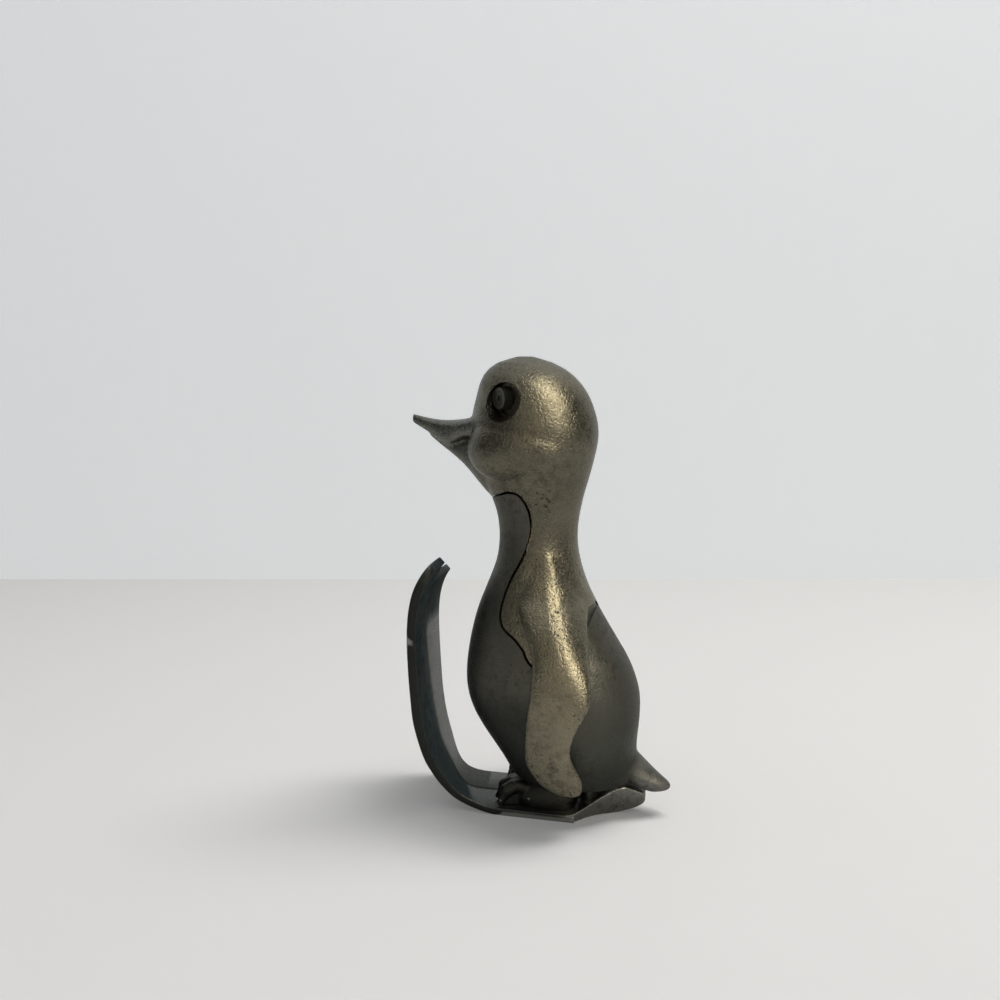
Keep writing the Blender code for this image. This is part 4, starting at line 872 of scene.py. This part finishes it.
def cast(thing, voxel, rounds):
    """Melt overlapping forms into one skin with soft edges, as a casting has."""
    modifier = thing.modifiers.new("skin", "REMESH")
    modifier.mode = "VOXEL"
    modifier.voxel_size = voxel
    settle(thing)
    form = bmesh.new()
    form.from_mesh(thing.data)
    for _ in range(rounds):
        bmesh.ops.smooth_vert(
            form, verts=form.verts, factor=SOFTENING, use_axis_x=True, use_axis_y=True, use_axis_z=True
        )
    form.to_mesh(thing.data)
    form.free()


print("the castings are melted in voxels of", VOXEL, "mm")

# %% Melt, saw and hollow the upper casting
RUB_GAP = 0.3
CUT_SPAN = (20.0, 76.0)
THROAT_ROOM = 3.0
THROAT_ROOM_SPAN = (48.0, 54.0)
RELIEF_GAP = 0.28
RELIEF_SHARES = (0.5, 1.0)


def clearing(height):
    """Negative inset of the cut in front and at the sides, larger at the throat."""
    return -RUB_GAP - THROAT_ROOM * ramp(height, *THROAT_ROOM_SPAN)


def make_upper_casting():
    """One casting with bill, cheeks, flippers and two eye sockets."""
    skin = figure_skin(HEAD_SKIN_FOOT, FIGURE_HEIGHTS[-1], back=lip_swell)
    wings = [make_flipper(side) for side in (-1, 1)]
    casting = scratch("upper_casting", skin, *make_bill(), *make_cheeks(), *wings)
    cast(casting, VOXEL, 7)
    below = scratch("below", figure_skin(*CUT_SPAN, clearing, clearing, -RUB_GAP - LIP_PROUD))
    cut(below, prism(head_space(0.0), FAR))
    boolean(casting, below, "DIFFERENCE")
    inside = inner_head()
    for side in (-1, 1):
        wall = SOCKET_RADIUS + BACKING_WALL
        cut(inside, eye_rod(side, wall, -SOCKET_DEPTH - BACKING_DEPTH, SOCKET_DEPTH))
    boolean(casting, inside, "DIFFERENCE")
    floor_radius, rim_radius = [SOCKET_RADIUS * share for share in SOCKET_TAPER]
    for side in (-1, 1):
        cut(
            casting,
            eye_rod(side, floor_radius, -SOCKET_DEPTH, SOCKET_DEPTH, rim_radius),
            eye_rod(side, SOCKET_RADIUS * STEP_SHARE, -SOCKET_DEPTH - STEP_DEPTH, 0.0),
        )
    for share in RELIEF_SHARES:
        boolean(casting, tilted(body_envelope(RELIEF_GAP), -HEAD_TILT * share), "DIFFERENCE")
    return casting


finish(make_upper_casting(), "head", PEWTER, "head_casting")

# %% [markdown]
# ## Eyes
# Each eye is a round stud in a deep socket, a little forward of its middle, with a soft edge and a
# dimple. A turned profile would do, but a bevelled disc with an inset keeps the rim as clean as on the
# casting.

# %% Eye studs
PUPIL_RADIUS = 2.15
PUPIL_TURN = 41.0
PUPIL_PLACE = (1.8, 0.5)
PUPIL_FOOT = -2.5
PUPIL_TOP = -0.65
RIM_TAPER = (1.04, 0.94)
# Insets of the top: thickness and depth
DIMPLE = [
    (PUPIL_RADIUS * 0.2, 0.0),
    (PUPIL_RADIUS * 0.1, -0.16),
    (PUPIL_RADIUS * 0.42, 0.0),
    (0.12, -0.28),
]
PUPIL_BEVEL = 0.1
CREASE = 0.5


def bevel(form, edges, width):
    """Round edges off."""
    kind = {"offset_type": "OFFSET", "affect": "EDGES", "material": -1}
    bmesh.ops.bevel(form, geom=edges, offset=width, segments=3, profile=0.5, **kind)


def make_pupil(side, name, node):
    """Stud with a rounded rim and a dimple."""
    form = bmesh.new()
    height = PUPIL_TOP - PUPIL_FOOT
    low, high = [PUPIL_RADIUS * share for share in RIM_TAPER]
    bmesh.ops.create_cone(form, cap_ends=True, segments=48, radius1=low, radius2=high, depth=height)
    top = max(form.faces, key=lambda face: face.calc_center_median().z)
    for thickness, depth in DIMPLE:
        bmesh.ops.inset_region(form, faces=[top], thickness=thickness, depth=depth)
    rims = [edge for edge in form.edges if edge.is_manifold and edge.calc_face_angle() > CREASE]
    bevel(form, rims, PUPIL_BEVEL)
    forward, up = PUPIL_PLACE
    shift = Matrix.Translation((side * forward, up, (PUPIL_TOP + PUPIL_FOOT) / 2))
    bmesh.ops.transform(form, matrix=eye_frame(side, PUPIL_TURN) @ shift, verts=form.verts)
    finish(scratch(name, form), "head", EYE_METAL, node)


make_pupil(-1, "left_pupil", "left_eye_stud")
make_pupil(1, "right_pupil", "right_eye_stud")

# %% [markdown]
# ## The lower casting
# The same figure with the tail, melted together and sawn along the joint, this time with the gap added.
# Under the upper casting's shoulders it steps in, so that the head can swing over it.

# %% Side wall and tail
TAIL = [
    (10.0, 14.6, 7.2, 5.8),
    (13.2, 13.4, 6.2, 5.1),
    (15.6, 11.5, 5.0, 4.0),
    (18.0, 9.3, 4.3, 2.8),
    (20.0, 7.6, 4.5, 1.9),
    (21.2, 6.7, 4.9, 1.0),
    (21.7, 6.1, 5.4, 0.35),
]


def body_side_wall(height):
    """Side wall with the step in under the upper casting."""
    under_head = ramp(height, SHOULDER_FOOT - BODY_WALL, SHOULDER_FOOT + BODY_WALL)
    above_rim = ramp(height, SHOULDER_RIM, SHOULDER_RIM + BODY_WALL)
    return BODY_WALL + (HEAD_WALL + CLEARANCE) * (under_head - above_rim)


def make_tail():
    """Short tail, thick at the root, with a soft ridge on every side."""
    return spindle(TAIL, squareness=1.2)


print("the tail reaches", TAIL[-1][0], "mm behind the pins")

# %% Melt, saw and hollow the lower casting
HOLLOW_LIFT = 0.6
SHELF_SPAN = (11.4, 12.7)
SHELF_RADIUS = 11.0
SHELF_END = -0.5
SHELF_BORE = (-5.9, 3.6)
SHELF_BORE_SPAN = (9.0, 13.5)
MOUTH_SPAN = (4.0, 8.0)


def back_wall(height):
    """Inset of the hollow at the back, under the nape of the upper casting."""
    return BODY_WALL + back_drop(height) + nape_wall(height)


def make_lower_casting():
    """Body with tail, inner shoulders, open underside and a shelf for the can."""
    underside = FIGURE_HEIGHTS[0]
    body = scratch("lower_casting", figure_skin(underside, NECK_TOP, back=back_drop), make_tail())
    cast(body, VOXEL, 4)
    cut(body, prism(head_space(JOINT_GAP), FAR))
    add_shoulders(body, 0.0)
    foot = underside + HOLLOW_LIFT
    hollow = figure_skin(foot, NECK_TOP, BODY_WALL, body_side_wall, back_wall, spokes=32, step=2.0)
    inside = scratch("inner_body", hollow)
    cut(inside, pillar(SHELF_END - SHELF_RADIUS, 0.0, *SHELF_SPAN, SHELF_RADIUS))
    boolean(body, inside, "DIFFERENCE")
    front, back, half = figure_at(underside)
    sides = (front + BODY_WALL, back - BODY_WALL, BODY_WALL - half, half - BODY_WALL)
    x, radius = SHELF_BORE
    mouth = loft([level(height, *sides) for height in MOUTH_SPAN])
    cut(body, mouth, pillar(x, 0.0, *SHELF_BORE_SPAN, radius))
    return body


finish(make_lower_casting(), "base", BODY_METAL, "body_casting")

# %% [markdown]
# ## Skis
# Two thin plates, bent up in front into high curls with rounded tips. They were bent by hand, so the bend
# runs a little askew, and each edge has its own path in the side view. Every plate is a skin over rings
# between the paths of its two edges. An extruded outline can't follow such a twist.

# %% Paths of the sole: left edge, parting line and right edge
LEFT_EDGE = [
    (4.3, 0.0), (-4.0, 0.0), (-10.5, 0.0), (-12.4, 0.15), (-14.7, 0.7), (-17.3, 1.6), (-19.6, 2.8),
    (-22.0, 4.9), (-24.0, 7.4), (-25.8, 10.6), (-27.6, 16.6), (-28.2, 21.8), (-28.6, 27.4),
    (-28.8, 33.5), (-28.6, 37.7), (-28.1, 40.9), (-27.3, 43.6), (-25.9, 46.3), (-24.6, 48.2),
    (-23.4, 49.4),
]
PARTING_LINE = [
    (4.3, 0.0), (-4.0, 0.0), (-12.0, 0.0), (-15.5, 0.0), (-17.3, 0.08), (-19.2, 0.5), (-20.9, 1.7),
    (-22.5, 4.0), (-24.2, 7.4), (-25.8, 10.9), (-27.1, 16.4), (-27.9, 21.6), (-28.5, 27.3),
]
RIGHT_EDGE = [
    (4.3, 0.0), (-4.0, 0.0), (-12.0, 0.0), (-16.5, 0.0), (-18.5, 0.1), (-20.4, 0.45), (-22.3, 1.3),
    (-23.9, 2.9), (-25.1, 5.4), (-26.1, 8.9), (-27.3, 13.6), (-28.1, 19.0), (-28.5, 25.0),
    (-28.8, 31.5), (-28.8, 36.0), (-28.5, 39.0), (-27.9, 41.5), (-27.1, 43.4), (-26.0, 45.0),
    (-24.8, 46.2),
]
FLAT_THICKNESS = 1.35
LEFT_CURL = 1.85
RIGHT_CURL = 1.35
INNER_CURL = 1.4
THICKENS_OVER = (0.3, 6.0)
JOIN_RISE = 3.0
OUTER_Y = 8.68
INNER_Y = 0.18
TIP_LENGTH = 5.2
TIP_BLUNTNESS = 0.02
SKI_BEVEL = 0.26


def bridge(rings):
    """Closed skin over rings that have the same number of points."""
    form = bmesh.new()
    loops = [[form.verts.new(point) for point in ring] for ring in rings]
    for loop in (loops[0], loops[-1]):
        form.faces.new(loop)
    for first, second in zip(loops, loops[1:]):
        for index in range(len(first)):
            following = (index + 1) % len(first)
            form.faces.new((first[index], first[following], second[following], second[index]))
    face_out(form)
    form.verts.index_update()
    return form


def edge_rows(path, thickness):
    """Points of the sole and of the top along one edge."""
    points = [Vector((x, max(z, 0.0))) for x, z in smooth_path(path, 5)]
    rows = []
    for index, point in enumerate(points):
        way = (points[min(index + 1, len(points) - 1)] - points[max(index - 1, 0)]).normalized()
        height = FLAT_THICKNESS + (thickness - FLAT_THICKNESS) * ramp(point.y, *THICKENS_OVER)
        rows.append((point, point + Vector((way.y, -way.x)) * height))
    return rows


def ski_ring(side, outer, inner, rest):
    """Corners of one section, narrower where little is left of the plate's length."""
    sole, top = zip(outer, inner)
    width = math.sqrt(max(1.0 - (1.0 - min(rest / TIP_LENGTH, 1.0)) ** 2, TIP_BLUNTNESS))
    near, far = (1.0 - width) / 2, (1.0 + width) / 2
    ring = []
    for share, (start, end) in zip((near, far, far, near), (sole, sole, top, top)):
        point = start.lerp(end, share)
        ring.append((point.x, side * (OUTER_Y + (INNER_Y - OUTER_Y) * share), point.y))
    return ring


def make_ski(side, name, outer, curl, material, node):
    """Plate between its two edges, round in plan at the tip, with rounded rims."""
    inner = PARTING_LINE + [point for point in outer if point[1] > PARTING_LINE[-1][1] + JOIN_RISE]
    outer_rows = edge_rows(outer, curl)
    inner_rows = edge_rows(inner, INNER_CURL)
    left = [0.0]
    for (point, _), (following, _) in zip(outer_rows[::-1], outer_rows[-2::-1]):
        left.append(left[-1] + (following - point).length)
    rings = [ski_ring(side, *rows) for rows in zip(outer_rows, inner_rows, left[::-1])]
    form = bridge(rings)
    corners = len(rings[0])
    last = len(form.verts) - corners
    rims = []
    for edge in form.edges:
        start, end = sorted(vert.index for vert in edge.verts)
        if end - start == corners or start >= last:
            rims.append(edge)
    bevel(form, rims, SKI_BEVEL)
    finish(scratch(name, form), "base", material, node)


make_ski(-1, "left_ski_plate", LEFT_EDGE, LEFT_CURL, NEAR_SKI, "left_ski")
make_ski(1, "right_ski_plate", RIGHT_EDGE, RIGHT_CURL, FAR_SKI, "right_ski")

# %% [markdown]
# ## Feet
# Webbed feet with three blunt toes and claws, painted nearly black as the shade under the belly. Bones, joints and
# a web are melted together, as on the castings. Sculpting would give softer folds, but here every toe stays a few
# numbers.

# %% Toes, claws and web
FOOT_Y = 4.4
ANKLE = (-4.6, 4.2)
HEEL_MASS = ((-2.0, 4.3, 3.0), (6.2, 3.1, 4.2))
TOES = [(-28.0, 6.0), (-1.0, 6.3), (25.0, 6.0)]
FOOT_FLOOR = 1.5
FOOT_CEILING = 6.25
FRONT_EDGE = -9.3
WEB = (2.5, 5.6, 27.0)
WEB_RISE = 1.4
WEB_HALF = 1.5
RIVET_BORE = (-3.8, 1.1)
FOOT_VOXEL = 0.16
WIDE = 60.0
# Bones of a toe: share of the reach, length beyond it, rise, radii of the ends, radii of the joint
BONES = [
    (0.5, 0.0, 1.3, (2.0, 1.5), (1.5, 1.4, 1.45)),
    (0.88, 0.0, 0.3, (1.45, 1.25), (1.3, 1.2, 1.3)),
    (1.0, 0.5, -2.0, (1.15, 0.6), (0.75, 0.6, 0.65)),
]


def make_toe(ankle, angle, reach):
    """Bones and joints of one arched toe with its blunt claw."""
    turn = math.radians(angle)
    way = Vector((-math.cos(turn), math.sin(turn), 0.0))
    forms = []
    start = ankle
    for share, beyond, rise, radii, joint in BONES:
        end = ankle + way * (reach + beyond) * share + Vector((0.0, 0.0, rise))
        forms += [rod(start, end, *radii, 16), ball(end, joint)]
        start = end
    return forms


def make_web(y):
    """Thick web, spread like a fan."""
    x = ANKLE[0]
    heel, reach, angle = WEB
    half = reach * math.tan(math.radians(angle))
    web = prism([(x + heel, 0.0), (x - reach, -half), (x - reach, half)], WEB_HALF)
    flat = Matrix.Rotation(math.radians(-90.0), 4, "X")
    rise = Matrix.Translation((0.0, y, FOOT_FLOOR + WEB_RISE))
    bmesh.ops.transform(web, matrix=rise @ flat, verts=web.verts)
    return web


def make_foot(side, name, node):
    """Foot between ski and body, cut flat below and, behind its front edge, above."""
    x, z = ANKLE
    y = side * FOOT_Y
    (mass_x, mass_y, mass_z), radii = HEEL_MASS
    forms = [ball((mass_x, side * mass_y, mass_z), radii)]
    for angle, reach in TOES:
        forms += make_toe(Vector((x, y, z)), angle, reach)
    foot = scratch(name, *forms, make_web(y))
    cast(foot, FOOT_VOXEL, 4)
    below = pillar(0.0, 0.0, FOOT_FLOOR - 20.0, FOOT_FLOOR, WIDE, spokes=64)
    above = pillar(FRONT_EDGE + WIDE, 0.0, FOOT_CEILING, 20.0, WIDE, spokes=64)
    bore_x, bore = RIVET_BORE
    cut(foot, below, above, pillar(bore_x, y, 0.0, 10.0, bore))
    finish(foot, "base", FOOT_METAL, node)


make_foot(-1, "left_foot_cast", "left_foot")
make_foot(1, "right_foot_cast", "right_foot")

# %% [markdown]
# ## Heel block
# Behind the feet the skis run into a small stern that rises to the tail, with a light rim around a
# recess. A box with bevels would miss its flare, so it is a skin over rows of sections, hollowed by a
# second skin.

# %% Stern: place along, half width of foot and rim, bottom and top
STERN = [
    (2.6, 8.7, 8.74, 0.25, 1.5),
    (4.0, 8.4, 8.72, 0.02, 1.75),
    (5.6, 6.4, 7.9, 0.0, 2.5),
    (7.2, 4.6, 6.9, 0.0, 3.4),
    (9.0, 3.3, 5.7, 0.0, 4.4),
    (10.5, 2.5, 4.7, 0.0, 5.1),
    (12.0, 1.9, 3.8, 0.15, 5.7),
    (13.4, 1.5, 3.0, 0.5, 5.75),
    (15.0, 1.1, 2.3, 1.0, 5.1),
    (16.2, 0.8, 1.6, 1.6, 4.5),
    (16.9, 0.5, 0.9, 2.2, 4.1),
]
RIM_WIDTH = 0.8
RECESS_HALF = 1.5
RECESS_FLOOR = 1.1
RECESS_RISE = 2.6
RECESS_SLOPE = (9.0, 13.0)
PEDESTAL = (6.4, 2.1, 6.3)
PEDESTAL_FOOT = 0.3
SCREW_BORE = 1.2
SCREW_HEAD = (1.9, 1.4)
HEEL_VOXEL = 0.2


def wedge(rows):
    """Skin over rows of place along, lower half width, upper half width, bottom and top."""
    rings = []
    for x, low, high, bottom, top in rows:
        rings.append([(x, -low, bottom), (x, low, bottom), (x, high, top), (x, -high, top)])
    return bridge(rings)


def make_heel():
    """Stern with flaring side walls, a thin rim and a hollow behind the feet."""
    rows = smooth_path(STERN, 3)
    block = scratch("heel_cast", wedge(rows))
    inside = []
    for x, low, high, bottom, top in rows:
        if x < RECESS_SLOPE[1]:
            floor = RECESS_FLOOR + RECESS_RISE * ramp(x, *RECESS_SLOPE)
            narrow = max(low, RECESS_HALF) - RIM_WIDTH
            inside.append((x, narrow, high - RIM_WIDTH, floor, top + RIM_WIDTH / 2))
    cut(block, wedge(inside))
    x, radius, top = PEDESTAL
    boolean(block, scratch("pedestal", pillar(x, 0.0, PEDESTAL_FOOT, top, radius)), "UNION")
    cast(block, HEEL_VOXEL, 3)
    sink, depth = SCREW_HEAD
    cut(
        block,
        pillar(x, 0.0, -1.0, 10.0, SCREW_BORE),
        pillar(x, 0.0, -1.0, depth, sink),
        pillar(0.0, 0.0, -9.0, 0.0, WIDE),
    )
    finish(block, "base", HEEL_METAL, "heel_block")


make_heel()

# %% [markdown]
# ## Table, wall and light
# The penguin stands on a pale table in front of a pale wall, with a soft light from overhead. Both are
# large square sheets. A curved backdrop would hide the line where table and wall meet, but the photo
# shows that line.

# %% Camera
CAMERA_AZIMUTH = 14.0
CAMERA_ELEVATION = 8.0
CAMERA_PLACE = (35.1, -190.0, 87.9)
LENS = 36.72
SENSOR = 36.0
CLIP_START = 0.01


def make_camera():
    """Camera at the fitted place of the photographer."""
    data = bpy.data.cameras.new("camera")
    data.lens = LENS
    data.sensor_width = SENSOR
    data.clip_start = CLIP_START
    camera = put("camera", data)
    azimuth = math.radians(CAMERA_AZIMUTH)
    elevation = math.radians(CAMERA_ELEVATION)
    run = math.cos(elevation)
    away = Vector((math.sin(azimuth) * run, -math.cos(azimuth) * run, math.sin(elevation)))
    turn = away.to_track_quat("Z", "Y").to_matrix().to_4x4()
    camera.matrix_world = Matrix.Translation(TO_FRAME @ Vector(CAMERA_PLACE)) @ turn
    bpy.context.scene.camera = camera


make_camera()
print("the camera is", round(Vector(CAMERA_PLACE).length), "mm away")

# %% Table and wall
MATT_ROUGHNESS = 0.9
MATT_SPECULAR = 0.1
TABLE_REACH = 0.205
TABLE_SIZE = 1.6


def pale(name, lit, seen, dimming):
    """Plain matt surface. The camera sees it in full, and shiny metal sees it dimmed."""
    material, tree, shader = principled(name)
    shader.inputs["Roughness"].default_value = MATT_ROUGHNESS
    shader.inputs["Specular IOR Level"].default_value = MATT_SPECULAR
    shader.inputs["Emission Color"].default_value = (*seen, 1.0)
    rays = tree.nodes.new("ShaderNodeLightPath").outputs
    dimmed = (*[channel * dimming for channel in lit], 1.0)
    tree.links.new(mix(tree, rays["Is Camera Ray"], dimmed, (*lit, 1.0)), shader.inputs["Base Color"])
    mirrored = calc(tree, "MULTIPLY", rays["Is Glossy Ray"], dimming)
    glow = calc(tree, "ADD", mirrored, rays["Is Camera Ray"])
    tree.links.new(glow, shader.inputs["Emission Strength"])
    return material


def make_sheet(name, place, material):
    """Large square sheet, turned square to the camera's view."""
    form = bmesh.new()
    bmesh.ops.create_grid(form, x_segments=1, y_segments=1, size=TABLE_SIZE / 2)
    turn = Matrix.Rotation(math.radians(CAMERA_AZIMUTH), 4, "Z")
    bmesh.ops.transform(form, matrix=turn @ place, verts=form.verts)
    sheet = scratch(name, form)
    sheet.data.materials.append(material)
    return sheet


pale_table = pale("pale_table", lit=(0.80, 0.785, 0.77), seen=(0.12, 0.12, 0.118), dimming=0.65)
pale_wall = pale("pale_wall", lit=(0.84, 0.86, 0.855), seen=(0.40, 0.41, 0.415), dimming=0.72)
forward = Matrix.Translation((0.0, TABLE_REACH - TABLE_SIZE / 2, 0.0))
stand = Matrix.Translation((0.0, TABLE_REACH, 0.0)) @ Matrix.Rotation(math.radians(90.0), 4, "X")
make_sheet("table_top", forward, pale_table)
make_sheet("wall", stand, pale_wall)
print("the wall is", TABLE_REACH, "m behind the penguin")

# %% Lamps and world
AIM = (0.0, 0.0, 0.045)
WORLD_COLOUR = (0.40, 0.42, 0.43)
WORLD_STRENGTH = 0.22


def lamp(name, place, size, power, tint, mirrored=True, matt=True):
    """Area lamp aimed at the penguin. It may light only mirroring or only matt surfaces."""
    data = bpy.data.lights.new(name, "AREA")
    data.shape = "RECTANGLE"
    data.size, data.size_y = size
    data.energy = power
    data.color = tint
    thing = put(name, data)
    aim = Vector(AIM) - Vector(place)
    thing.matrix_world = Matrix.Translation(place) @ aim.to_track_quat("-Z", "Y").to_matrix().to_4x4()
    thing.visible_glossy = mirrored
    thing.visible_diffuse = matt


lamp("window", (0.24, -0.21, 0.35), (0.16, 0.44), 1.35, (1.0, 0.92, 0.76), matt=False)
lamp("room", (0.25, -1.0, 0.35), (1.3, 0.9), 1.7, (1.0, 0.92, 0.78), matt=False)
lamp("ceiling", (-0.1, 0.1, 0.9), (1.5, 1.5), 3.2, (0.95, 0.98, 1.0))
lamp("skylight", (0.22, 0.22, 0.75), (0.45, 0.45), 6.0, (1.0, 0.99, 0.97), mirrored=False)

world = bpy.data.worlds.new("room")
bpy.context.scene.world = world
world.use_nodes = True
background = world.node_tree.nodes["Background"]
background.inputs["Color"].default_value = (*WORLD_COLOUR, 1.0)
background.inputs["Strength"].default_value = WORLD_STRENGTH
bpy.context.scene.view_settings.view_transform = "Standard"
print(len(bpy.data.lights), "lamps and a dim room")
